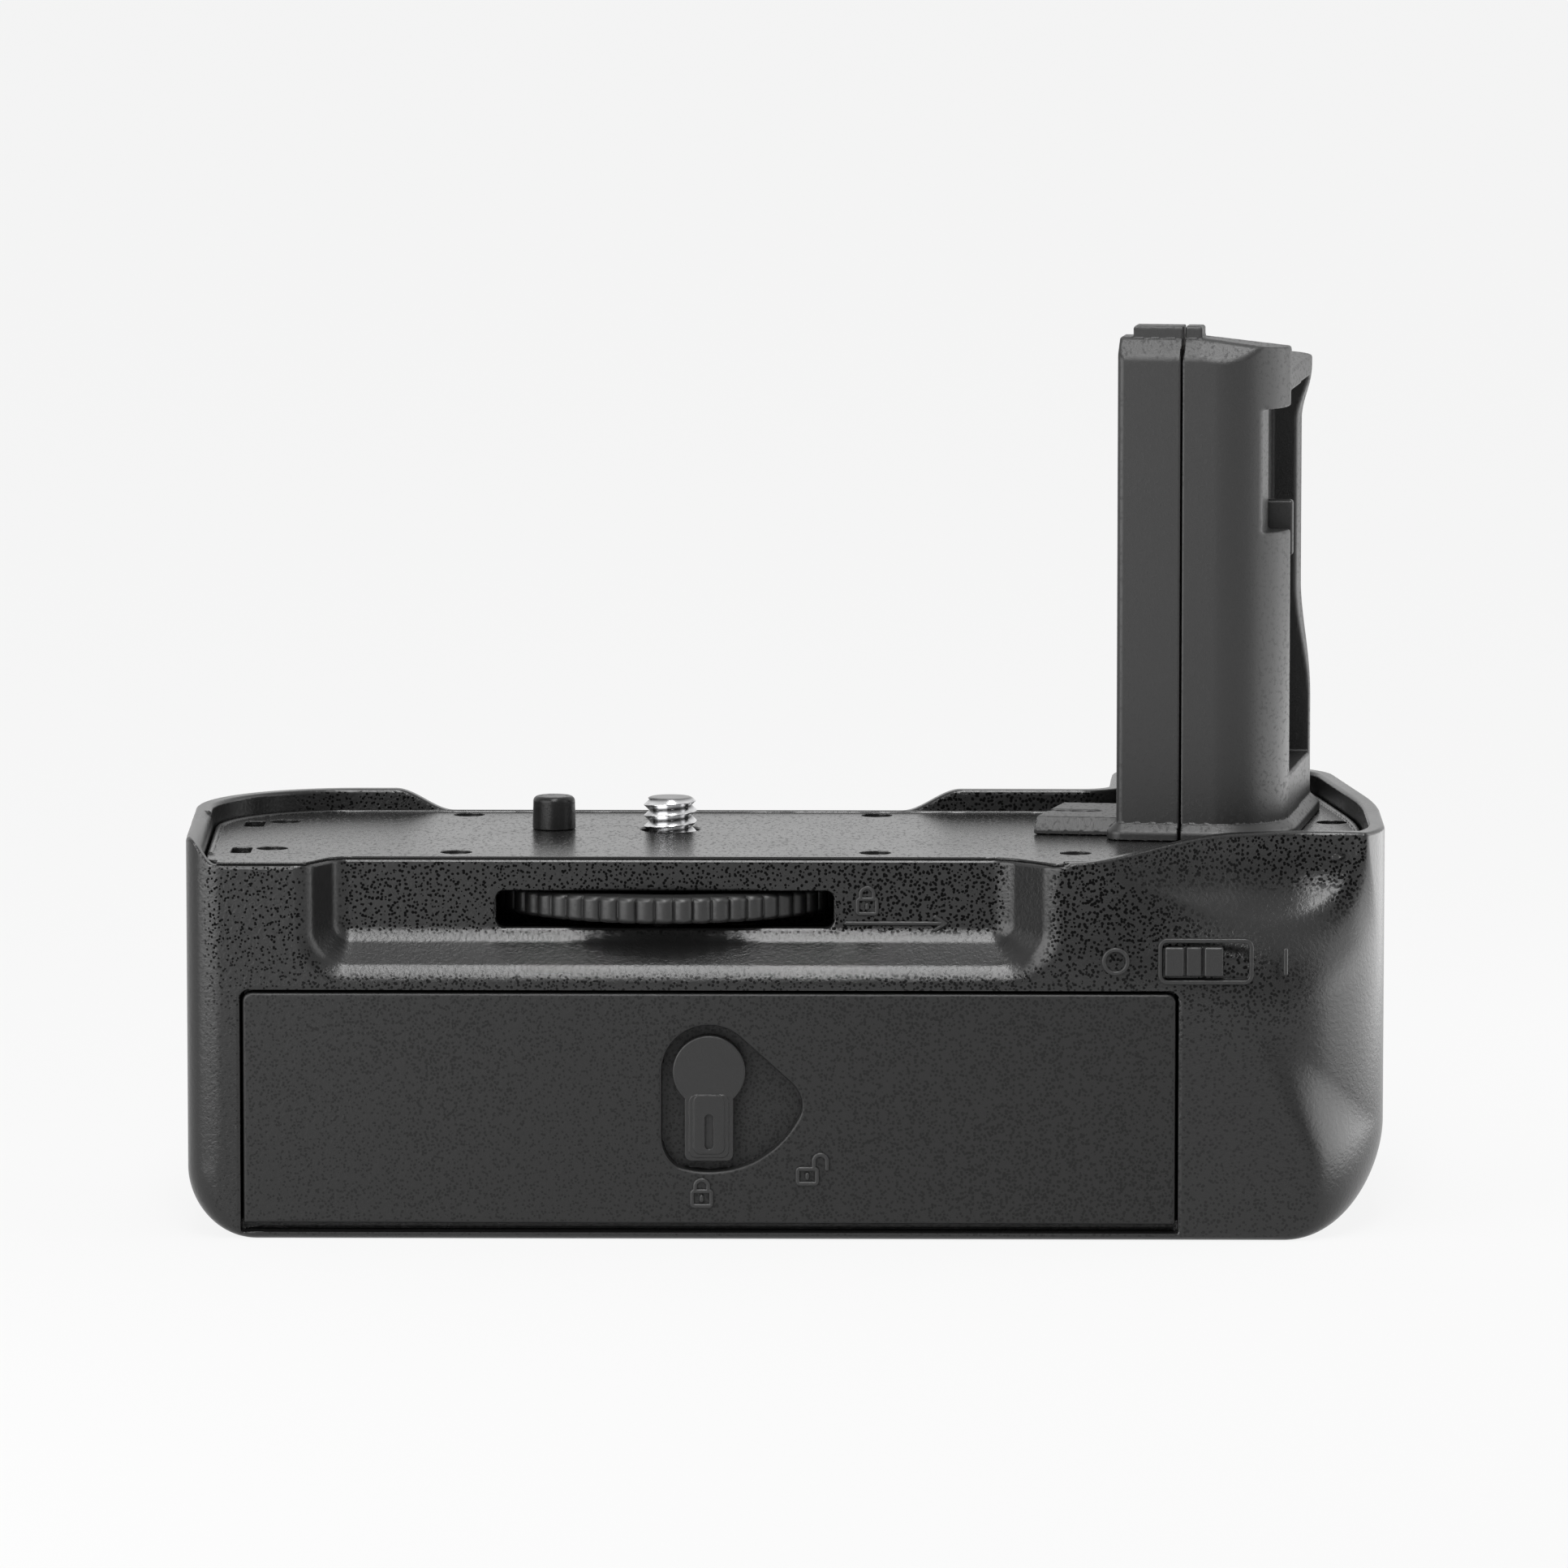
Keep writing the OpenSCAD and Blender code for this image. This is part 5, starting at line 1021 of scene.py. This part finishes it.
class Paint:
    """The node tree of one finish."""

    def __init__(self, name, owner=None):
        self.material = owner or bpy.data.materials.new(name)
        self.material.use_nodes = True
        self.tree = self.material.node_tree
        self.tree.nodes.clear()

    def node(self, kind, settings=None, inputs=None, output=0):
        """Adds a node, sets it, fills or links its inputs and gives one output."""
        node = self.tree.nodes.new("ShaderNode" + kind)
        for key, value in (settings or {}).items():
            setattr(node, key, value)
        for key, value in (inputs or {}).items():
            if isinstance(value, Wire):
                self.tree.links.new(value.socket, node.inputs[key])
            else:
                node.inputs[key].default_value = value
        return Wire(self, node.outputs[output])

    def where(self, stretch=(1, 1, 1)):
        """Place on the object, in metres, stretched along the axes."""
        spot = self.node("TexCoord", output="Object")
        if stretch == (1, 1, 1):
            return spot
        return self.node("VectorMath", {"operation": "MULTIPLY"}, {0: spot, 1: stretch})

    def noise(self, size, detail=2.0, rough=0.5, stretch=(1, 1, 1), warp=0.0):
        """Cloudy noise from 0 to 1, with lumps of a size in millimetres."""
        return self.node("TexNoise", {"normalize": True}, {
            "Vector": self.where(stretch), "Scale": 1 / (size * MM), "Detail": detail, "Roughness": rough,
            "Distortion": warp}, "Fac")

    def cells(self, size, feature="F1", stretch=(1, 1, 1)):
        """Distance to the middles of cells of a size in millimetres."""
        return self.node("TexVoronoi", {"feature": feature},
                         {"Vector": self.where(stretch), "Scale": 1 / (size * MM)}, "Distance")

    def blend(self, mask, a, b):
        """One colour over another, by a mask."""
        return self.node("Mix", {"data_type": "RGBA"}, {0: mask, 6: (*a, 1), 7: (*b, 1)}, 2)

    def bump(self, height, depth):
        """A normal from a height of 0 to 1, with its depth in millimetres."""
        return self.node("Bump", None, {"Height": height, "Distance": depth * MM, "Strength": 1.0})

    def shader(self, **inputs):
        return self.node("BsdfPrincipled", None, {k.replace("_", " "): v for k, v in inputs.items()}, "BSDF")

    def finish(self, **inputs):
        self.node_out(self.shader(**inputs))
        return self.material

    def node_out(self, surface, kind="Material"):
        out = self.tree.nodes.new("ShaderNodeOutput" + kind)
        self.tree.links.new(surface.socket, out.inputs["Surface"])


def shade(tone, factor):
    return tuple(channel * factor for channel in tone)


def pebbled_plastic(name, tone, rough, grain, depth, dark, low, high, shine=0.48):
    """Black plastic from a spark-eroded mould: fine pebbles, and painted dark specks that stand in for shade and dark
    reflections in the pebbles, thickening upwards on upright faces.
    """
    p = Paint(name)
    pebbles = p.noise(grain, 3.0, 0.55, warp=0.6)
    speck_cells = p.cells(grain * 0.9) + p.noise(grain * 0.5, 2.0) * 0.36
    fine = p.noise(grain * 0.28, 2.0, 0.6)
    cloud = p.noise(grain * 36, 2.0)
    # Painted shade: the dark specks thicken from low to high up the piece and towards the right
    height = p.node("SeparateXYZ", None, {0: p.where()}, "Z").rise(low * MM, high * MM)
    right = p.node("SeparateXYZ", None, {0: p.where()}, "X").rise(-10 * MM, 40 * MM)
    facing = p.node("SeparateXYZ", None, {0: p.node("NewGeometry", output="Normal")}, "Y")
    # Painted dark reflections: the specks are put only on faces turned to the rear
    upright = (0 - facing).rise(0.8, 0.97)
    speck_pattern = 1 - (speck_cells - cloud * 0.24 - height * 0.06 - right * 0.05).rise(0.34, 0.4)
    dents_and_painted_specks = speck_pattern * upright * (0.3 + height * 0.7) * dark
    relief = pebbles.rise(0.3, 0.72) * 0.75 + fine * 0.25 - dents_and_painted_specks * 0.3
    # Painted shade: in the specks the colour falls to under half its tone
    plastic = p.shader(
        Base_Color=p.blend(dents_and_painted_specks, tone, shade(tone, 0.45)), Roughness=rough - 0.05 + cloud * 0.1,
        Specular_IOR_Level=shine, Normal=p.bump(relief, depth))
    # Painted shade: a dark matt shader is mixed in over the specks
    painted_speck_shade = p.node("BsdfDiffuse", None, {"Color": (*shade(tone, 0.5), 1)}, "BSDF")
    p.node_out(p.node("MixShader", None, {0: dents_and_painted_specks, 1: plastic, 2: painted_speck_shade}, "Shader"))
    return p.material


def satin_plastic(name, tone, rough, depth, shine=0.5):
    """Smooth black plastic with a fine even grain."""
    p = Paint(name)
    fine = p.noise(0.2, 2.0, 0.6)
    cloud = p.noise(9.0, 3.0)
    flecks = p.noise(0.4, 2.0, 0.5, (1, 0.35, 1)).rise(0.5, 0.7)
    return p.finish(
        Base_Color=p.blend(flecks * 0.5 + cloud * 0.3, tone, shade(tone, 0.7)),
        Roughness=rough - 0.04 + cloud * 0.08 + flecks * 0.14, Specular_IOR_Level=shine,
        Normal=p.bump(fine + flecks * 0.6, depth))


def grip_leather(name, tone):
    """Rubber with a leather grain of raised cells, and painted shade darkening the creases between them."""
    p = Paint(name)
    creases = p.cells(1.5, "DISTANCE_TO_EDGE").rise(0.0, 0.16)
    fine = p.noise(0.3, 3.0, 0.6)
    # Painted shade: the colour is halved in the creases between the cells
    return p.finish(
        Base_Color=p.blend(creases, shade(tone, 0.5), tone),
        Roughness=0.72 - creases * 0.14 + fine * 0.08,
        Normal=p.bump(creases * 0.85 + fine * 0.15, 0.22))


def turned_steel(name, tone, rough, root=None):
    """Machined metal with fine rings round the upright axis, handling marks and, in a thread, painted shade darkening
    the root.
    """
    p = Paint(name)
    rings = p.noise(0.1, 2.0, 0.6, (0.05, 0.05, 1))
    smudge = p.noise(2.2, 3.0, 0.6)
    marks_and_painted_root_shade = smudge.rise(0.45, 0.75) * 0.5
    if root:
        away = p.node("VectorMath", {"operation": "LENGTH"}, {0: p.where((1, 1, 0))}, "Value")
        # Painted shade: inside the radii given by root, the thread's root is darkened
        marks_and_painted_root_shade = marks_and_painted_root_shade.most(1 - away.rise(root[0] * MM, root[1] * MM))
    # With a root given, the handling marks and the painted root shade darken the tone to a tenth
    return p.finish(
        Base_Color=p.blend(marks_and_painted_root_shade, tone, shade(tone, 0.1 if root else 0.72)), Metallic=1.0,
        Roughness=rough + rings * 0.1 + smudge * 0.06, Normal=p.bump(rings, 0.004))


def black_steel(name, tone):
    """Blackened screw metal, slightly worn to grey."""
    p = Paint(name)
    worn = p.noise(0.5, 3.0, 0.6).rise(0.58, 0.75)
    return p.finish(
        Base_Color=p.blend(worn, tone, shade(tone, 3.0)), Metallic=0.8,
        Roughness=0.34 + worn * 0.14, Normal=p.bump(p.noise(0.12, 2.0), 0.006))


def sheet_metal(name, tone, rough):
    """Rolled or plated sheet with a faint grain along the part."""
    p = Paint(name)
    grain = p.noise(0.2, 2.0, 0.6, (0.06, 1, 1))
    stain = p.noise(4.0, 3.0, 0.6).rise(0.4, 0.8)
    return p.finish(
        Base_Color=p.blend(stain * 0.6, tone, shade(tone, 0.75)), Metallic=1.0,
        Roughness=rough + grain * 0.14 + stain * 0.06, Normal=p.bump(grain, 0.006))


def circuit_laminate(name):
    """Green lacquer over copper tracks."""
    p = Paint(name)
    across = p.node("TexBrick", {"offset": 0.35, "squash": 0.8}, {
        "Vector": p.where(), "Scale": 190.0, "Mortar Size": 0.09, "Mortar Smooth": 0.3}, "Fac")
    weave = p.noise(0.5, 2.0)
    return p.finish(
        Base_Color=p.blend(across, (0.012, 0.11, 0.05), (0.03, 0.2, 0.085)),
        Roughness=0.28 + weave * 0.12, Normal=p.bump(across * 0.8 + weave * 0.2, 0.03))


def make_finishes():
    """All finishes by the piece they are for."""
    s = in_mm(bpy.context.scene.grip_finish)
    tone = {k: tuple(getattr(s, k)) for k in ("shell", "door", "deck", "stalk", "wheel", "rubber", "steel",
                                              "black_steel")}
    return SimpleNamespace(
        # Painted dark specks: full strength on the shell, thickening from 20 to 36 mm up; about a third of that on
        # the tray front
        shell=pebbled_plastic("pebbled shell", tone["shell"], s.shell_gloss, s.grain, s.grain_depth, 1.0, 20, 36),
        door=pebbled_plastic("fine pebbled tray front", tone["door"], s.door_gloss, s.grain * 0.9,
                             s.grain_depth, 0.34, -20, 0, 0.34),
        deck=satin_plastic("satin deck", tone["deck"], s.deck_gloss, 0.009),
        stalk=satin_plastic("satin stalk", tone["stalk"], s.stalk_gloss, 0.008),
        latch=satin_plastic("satin latch", tone["stalk"], s.stalk_gloss, 0.008, 0.42),
        wheel=satin_plastic("satin wheel", tone["wheel"], s.stalk_gloss, 0.01),
        rubber=grip_leather("grip leather", tone["rubber"]),
        # Painted shade: the camera screw's thread root is darkened between 2.35 and 2.95 mm from the axis
        steel=turned_steel("turned steel", tone["steel"], 0.14, (2.35, 2.95)),
        pin=satin_plastic("black pin", tone["shell"], 0.3, 0.01, 0.25),
        screws=black_steel("black screws", tone["black_steel"]),
        inner=satin_plastic("inner plastic", tone["rubber"], 0.5, 0.014),
        brass=turned_steel("cut brass", (0.62, 0.44, 0.18), 0.22),
        gold=sheet_metal("plated contacts", (0.78, 0.55, 0.2), 0.2),
        plate=sheet_metal("rolled plate", (0.5, 0.5, 0.52), 0.3),
        board=circuit_laminate("circuit laminate"))


# Operators, one for each piece or group of like pieces

class Moulder:
    """What the operators share: the forms and the finishes."""
    bl_options = {"REGISTER", "UNDO"}
    _finishes = None

    @property
    def shell(self):
        return ShellForm(bpy.context.scene.grip_shell)

    @property
    def parts(self):
        return PartForm(bpy.context.scene.grip_parts, self.shell)

    @property
    def finishes(self):
        if Moulder._finishes is None:
            Moulder._finishes = make_finishes()
        return Moulder._finishes


class GRIP_OT_shell(Moulder, bpy.types.Operator):
    """Moulds the shell with its pocket, scoop, rim and hand grip"""
    bl_idname = "grip.shell"
    bl_label = "Shell"

    def execute(self, context):
        form = self.shell
        low, high = span("main_housing")
        piece = mould("shell", form.shell, low, high, form.size.mesh_step, SHELL_TRIANGLES)
        dress(piece, "housing", self.finishes.shell, "shell", "main_housing")
        return {"FINISHED"}


class GRIP_OT_rubber(Moulder, bpy.types.Operator):
    """Moulds the rubber inlay of the hand grip"""
    bl_idname = "grip.rubber"
    bl_label = "Rubber inlay"

    def execute(self, context):
        form = self.shell
        low, high = span("grip_rubber")
        high = [value + form.size.rubber_proud for value in high]
        piece = mould("rubber_inlay", form.rubber, low, high, *DETAIL["rubber_inlay"])
        dress(piece, "housing", self.finishes.rubber, "grip_rubber", "grip_rubber")
        return {"FINISHED"}


class GRIP_OT_deck(Moulder, bpy.types.Operator):
    """Moulds the deck plate with its holes, slots and rear sheet"""
    bl_idname = "grip.deck"
    bl_label = "Deck"

    def execute(self, context):
        low, high = span("top_deck")
        piece = mould("deck_plate", self.shell.deck, low, high, *DETAIL["deck_plate"])
        dress(piece, "housing", self.finishes.deck, "deck", "top_deck")
        return {"FINISHED"}


class GRIP_OT_fasteners(Moulder, bpy.types.Operator):
    """Sets the countersunk screws of the deck and of the underside"""
    bl_idname = "grip.fasteners"
    bl_label = "Screws"

    def execute(self, context):
        s = self.parts.size
        reach = s.head + SCREW_PLAY
        low, high = (-reach, -reach, -s.head_high - SHANK_LONG - SCREW_PLAY), (reach, reach, SCREW_PLAY)
        for name, places, height, turn, node in (
                ("deck_screw", DECK_SCREWS, DECK - SCREW_SUNK, 0.0, "deck_screws"),
                ("base_screw", BASE_SCREWS, BASE, math.pi, "base_screws")):
            pieces = [mould(name, self.parts.fastener, low, high, *DETAIL["fastener"])]
            for _ in places[1:]:
                piece = pieces[0].copy()
                piece.data = pieces[0].data.copy()
                context.scene.collection.objects.link(piece)
                pieces.append(piece)
            for n, (piece, (x, y)) in enumerate(zip(pieces, places)):
                piece.name = f"{name}_{n + 1}"
                spin = Matrix.Rotation(turn, 4, "X") @ Matrix.Rotation(FIRST_SPIN + NEXT_SPIN * n, 4, "Z")
                piece.data.transform(Matrix.Translation(Vector((x, y, height)) * MM) @ spin)
                dress(piece, "housing", self.finishes.screws, "screws", *([node] if n == 0 else []))
        return {"FINISHED"}


class GRIP_OT_pin(Moulder, bpy.types.Operator):
    """Turns the locating pin"""
    bl_idname = "grip.pin"
    bl_label = "Locating pin"

    def execute(self, context):
        piece = mould("pin", self.parts.pin, PIN_LOW, PIN_HIGH, *DETAIL["pin"])
        dress(piece, "housing", self.finishes.pin, "pin", "locating_pin")
        return {"FINISHED"}


class GRIP_OT_camera_screw(Moulder, bpy.types.Operator):
    """Cuts the camera screw with its thread"""
    bl_idname = "grip.camera_screw"
    bl_label = "Camera screw"

    def execute(self, context):
        piece = mould("thread", self.parts.screw, SCREW_LOW, SCREW_HIGH, *DETAIL["thread"])
        dress(piece, "screw", self.finishes.steel, "bright_metal", "camera_screw")
        return {"FINISHED"}


class GRIP_OT_wheel(Moulder, bpy.types.Operator):
    """Moulds the lock wheel with its ridges"""
    bl_idname = "grip.wheel"
    bl_label = "Lock wheel"

    def execute(self, context):
        grow = self.parts.size.wheel_proud
        low = (WHEEL_LOW[0] - grow, WHEEL_LOW[1] - grow, WHEEL_LOW[2])
        high = (WHEEL_HIGH[0] + grow, WHEEL_HIGH[1] + grow, WHEEL_HIGH[2] + self.parts.size.wheel_lip)
        piece = mould("wheel_disc", self.parts.wheel, low, high, *DETAIL["wheel_disc"])
        dress(piece, "wheel", self.finishes.wheel, "wheel", "lock_wheel")
        return {"FINISHED"}


class GRIP_OT_stalk(Moulder, bpy.types.Operator):
    """Moulds the two shells of the stalk and the catch in its storage pocket"""
    bl_idname = "grip.stalk"
    bl_label = "Stalk"

    def execute(self, context):
        form = StalkForm(context.scene.grip_stalk)
        step = form.size.mesh_step
        for name, field, node, detail in (
                ("stalk_left", form.left, "stalk_left_shell", (step, STALK_TRIANGLES[0])),
                ("stalk_right", form.right, "stalk_right_shell", (step, STALK_TRIANGLES[1])),
                ("stalk_catch", form.clip, "stalk_clip", DETAIL["stalk_catch"])):
            low, high = span(node)
            dress(mould(name, field, low, high, *detail), "housing", self.finishes.stalk, "stalk", node)
        return {"FINISHED"}


class GRIP_OT_tray(Moulder, bpy.types.Operator):
    """Moulds the tray front with its latch pocket"""
    bl_idname = "grip.tray"
    bl_label = "Tray front"

    def execute(self, context):
        piece = mould("tray_panel", self.parts.door, DOOR_LOW, DOOR_HIGH, *DETAIL["tray_panel"])
        dress(piece, "tray", self.finishes.door, "shell", "tray_front")
        return {"FINISHED"}


class GRIP_OT_latch(Moulder, bpy.types.Operator):
    """Moulds the turn latch"""
    bl_idname = "grip.latch"
    bl_label = "Latch"

    def execute(self, context):
        low, high = span("latch_knob")
        piece = mould("latch_handle", self.parts.latch, low, high, *DETAIL["latch_handle"])
        dress(piece, "latch", self.finishes.latch, "knob", "latch_knob")
        return {"FINISHED"}


class GRIP_OT_switch(Moulder, bpy.types.Operator):
    """Moulds the slide switch's knob and the edge of its recess"""
    bl_idname = "grip.switch"
    bl_label = "Switch knob"

    def execute(self, context):
        piece = mould("switch_slider", self.parts.knob, KNOB_LOW, KNOB_HIGH, *DETAIL["switch_slider"])
        dress(piece, "switch", self.finishes.wheel, "knob", "switch_knob")
        form = self.shell
        s, middle = form.size, DECK - form.size.switch_drop
        wide, high = s.switch_wide / 2 + 1, s.switch_high / 2 + 1
        piece = mould("switch_edge", form.bezel, (s.switch_x - wide, REAR - 0.5, middle - high),
                      (s.switch_x + wide, REAR + s.switch_deep + 0.5, middle + high), *DETAIL["switch_edge"])
        dress(piece, "housing", self.finishes.wheel, "shell")
        return {"FINISHED"}


class GRIP_OT_marks(Moulder, bpy.types.Operator):
    """Raises the plain marks by the wheel, the switch and the latch"""
    bl_idname = "grip.marks"
    bl_label = "Marks"

    def execute(self, context):
        form, shell = self.parts, self.shell
        back = shell.pocket_back
        switch_z = DECK - shell.size.switch_drop
        sets = (
            ("wheel_mark", "housing", back, (20, 34.9), (33, 40.6),
             lambda x, z: np.minimum(padlock(x - 23.2, z - 38.5, True), arrow(x, z - 35.9, 20.8, 32.2))),
            ("switch_off_mark", "housing", REAR, (49, 30), (54.5, 34.6),
             lambda x, z: np.abs(np.hypot(x - 51.6, z - switch_z) - 1.35)),
            ("switch_on_mark", "housing", REAR, (69.4, 30), (72.6, 34.6),
             lambda x, z: stroke(x, z, [(71.0, switch_z - 1.35), (71.0, switch_z + 1.35)])),
            ("latch_shut_mark", "tray", REAR, (2, 3.4), (7, 8),
             lambda x, z: padlock(x - 4.3, z - 5.5, True)),
            ("latch_open_mark", "tray", REAR, (14, 5.8), (20.5, 11),
             lambda x, z: padlock(x - 16.4, z - 8.1, False)))
        for name, body, face, low, high, lines in sets:
            piece = mould(name, lambda x, y, z: form.raised(lines(x, z), y, face), (low[0], face - 0.3, low[1]),
                          (high[0], face + 0.4, high[1]), *DETAIL["mark"])
            dress(piece, body, self.finishes.stalk, "shell")
        return {"FINISHED"}


class GRIP_OT_inside(Moulder, bpy.types.Operator):
    """Gives the inner parts their finishes"""
    bl_idname = "grip.inside"
    bl_label = "Inner parts"

    def execute(self, context):
        f = self.finishes
        by_finish = (
            (f.inner, ("bay_frame", "contact_block", "terminal_block", "ribbon_cable", "tray_frame",
                       "switch_module")),
            (f.screws, ("screw_gear", "wheel_gear", "wheel_axle", "wheel_washer")),
            (f.brass, ("tripod_socket",)),
            (f.gold, ("bay_contacts", "stalk_terminals", "tray_contacts")),
            (f.plate, ("base_plate", "latch_tongue")),
            (f.screws, ("stalk_screws", "board_screws", "tray_screws", "latch_screw")),
            (f.board, ("circuit_board",)))
        for finish, nodes in by_finish:
            for name in nodes:
                piece = frame["nodes"][name]
                piece.data.materials.clear()
                piece.data.materials.append(finish)
                edge = piece.modifiers.new("edge", "BEVEL")
                edge.width = INNER_EDGE * MM
                edge.segments = 2
                edge.limit_method = "ANGLE"
                edge.angle_limit = math.radians(40)
        return {"FINISHED"}


class GRIP_OT_stage(Moulder, bpy.types.Operator):
    """Sets up the floor, the lamps and the camera"""
    bl_idname = "grip.stage"
    bl_label = "Stage"

    def lamp(self, name, power, place, aim, wide, high):
        data = bpy.data.lights.new(name, "AREA")
        data.shape = "RECTANGLE"
        data.size, data.size_y = wide, high
        data.energy = power
        obj = bpy.data.objects.new(name, data)
        bpy.context.scene.collection.objects.link(obj)
        obj.location = place
        obj.visible_camera = False
        obj.rotation_euler = (Vector(aim) - Vector(place)).to_track_quat("-Z", "Y").to_euler()

    def world(self, s):
        """White for camera rays; for light and reflections white behind and darker in front."""
        p = Paint("studio", bpy.data.worlds.new("studio"))
        bpy.context.scene.world = p.material
        way = p.node("SeparateXYZ", None, {0: p.node("TexCoord", output="Generated")}, "Y")
        depth = way.rise(-0.4, 0.6)
        tent = p.blend(depth, shade(s.backdrop, s.ambient), s.backdrop)
        light = p.node("Background", None, {"Color": tent, "Strength": 1.0})
        shown = p.node("Background", None, {"Color": (*s.backdrop, 1), "Strength": 1.0})
        seen = p.node("LightPath", output="Is Camera Ray")
        p.node_out(p.node("MixShader", None, {0: seen, 1: light, 2: shown}), "World")

    def floor(self, s):
        p = Paint("pale floor")
        path = p.node("LightPath", output="Is Camera Ray")
        glossy = p.node("LightPath", output="Is Glossy Ray")
        clear = p.node("LightPath", output="Is Transmission Ray")
        mottle = p.noise(40.0, 2.0)
        paper = p.node("BsdfDiffuse", None, {"Color": p.blend(mottle, s.backdrop, shade(s.backdrop, 0.99))}, "BSDF")
        glow = p.node("Emission", None, {"Color": (*s.backdrop, 1), "Strength": 0.985}, "Emission")
        mask = path.most(glossy).most(clear) * 0.95
        p.node_out(p.node("MixShader", None, {0: mask, 1: paper, 2: glow}, "Shader"))
        mesh = bpy.data.meshes.new("floor")
        corners = [(x * FLOOR_HALF, y * FLOOR_HALF, 0) for x, y in ((-1, -1), (1, -1), (1, 1), (-1, 1))]
        mesh.from_pydata(corners, [], [(0, 1, 2, 3)])
        mesh.materials.append(p.material)
        floor = bpy.data.objects.new("floor", mesh)
        floor.location.z = (BASE - 0.02) * MM
        bpy.context.scene.collection.objects.link(floor)

    def camera(self, s):
        data = bpy.data.cameras.new("camera")
        data.sensor_width = 36
        data.lens = s.focal / PHOTO_SIDE * data.sensor_width
        data.clip_end = 50
        camera = bpy.data.objects.new("camera", data)
        bpy.context.scene.collection.objects.link(camera)
        right = Vector((math.cos(s.yaw), math.sin(s.yaw), 0))
        level = math.cos(s.pitch)
        ahead = Vector((-math.sin(s.yaw) * level, math.cos(s.yaw) * level, -math.sin(s.pitch)))
        up = right.cross(ahead)
        place = Vector(s.aim) - ahead * s.distance + right * s.slide_right + up * s.slide_up
        turn = Matrix((right, up, -ahead)).transposed().to_4x4()
        camera.matrix_world = Matrix.Translation(place) @ turn
        bpy.context.scene.camera = camera

    def execute(self, context):
        s = context.scene.grip_stage
        context.scene.view_settings.view_transform = "Standard"
        self.world(s)
        self.floor(s)
        for key, (place, aim, wide, high) in LAMPS.items():
            self.lamp(key.replace("_", " "), getattr(s, key), place, aim, wide, high)
        self.camera(s)
        return {"FINISHED"}


OPERATORS = (GRIP_OT_stage, GRIP_OT_shell, GRIP_OT_rubber, GRIP_OT_deck, GRIP_OT_fasteners, GRIP_OT_pin,
             GRIP_OT_camera_screw, GRIP_OT_wheel, GRIP_OT_stalk, GRIP_OT_tray, GRIP_OT_latch, GRIP_OT_switch,
             GRIP_OT_marks, GRIP_OT_inside)
SETTINGS = {"grip_shell": GripShellSettings, "grip_stalk": GripStalkSettings, "grip_parts": GripPartSettings,
            "grip_finish": GripFinishSettings, "grip_stage": GripStageSettings}


class GRIP_PT_panel(bpy.types.Panel):
    """Lists the pieces of the grip and their settings"""
    bl_label = "Battery grip"
    bl_space_type = "VIEW_3D"
    bl_region_type = "UI"
    bl_category = "Battery grip"

    def draw(self, context):
        for operator in OPERATORS:
            self.layout.operator(operator.bl_idname)
        for name, settings in SETTINGS.items():
            box = self.layout.box()
            box.label(text=settings.__doc__)
            group = getattr(context.scene, name)
            for key in settings.__annotations__:
                box.prop(group, key)


CLASSES = (*SETTINGS.values(), *OPERATORS, GRIP_PT_panel)


def register():
    for cls in CLASSES:
        bpy.utils.register_class(cls)
    for name, settings in SETTINGS.items():
        setattr(bpy.types.Scene, name, bpy.props.PointerProperty(type=settings))


def unregister():
    for name in SETTINGS:
        delattr(bpy.types.Scene, name)
    for cls in reversed(CLASSES):
        bpy.utils.unregister_class(cls)


def main():
    register()
    for operator in OPERATORS:
        group, name = operator.bl_idname.split(".")
        getattr(getattr(bpy.ops, group), name)()


if __name__ == "__main__":
    main()
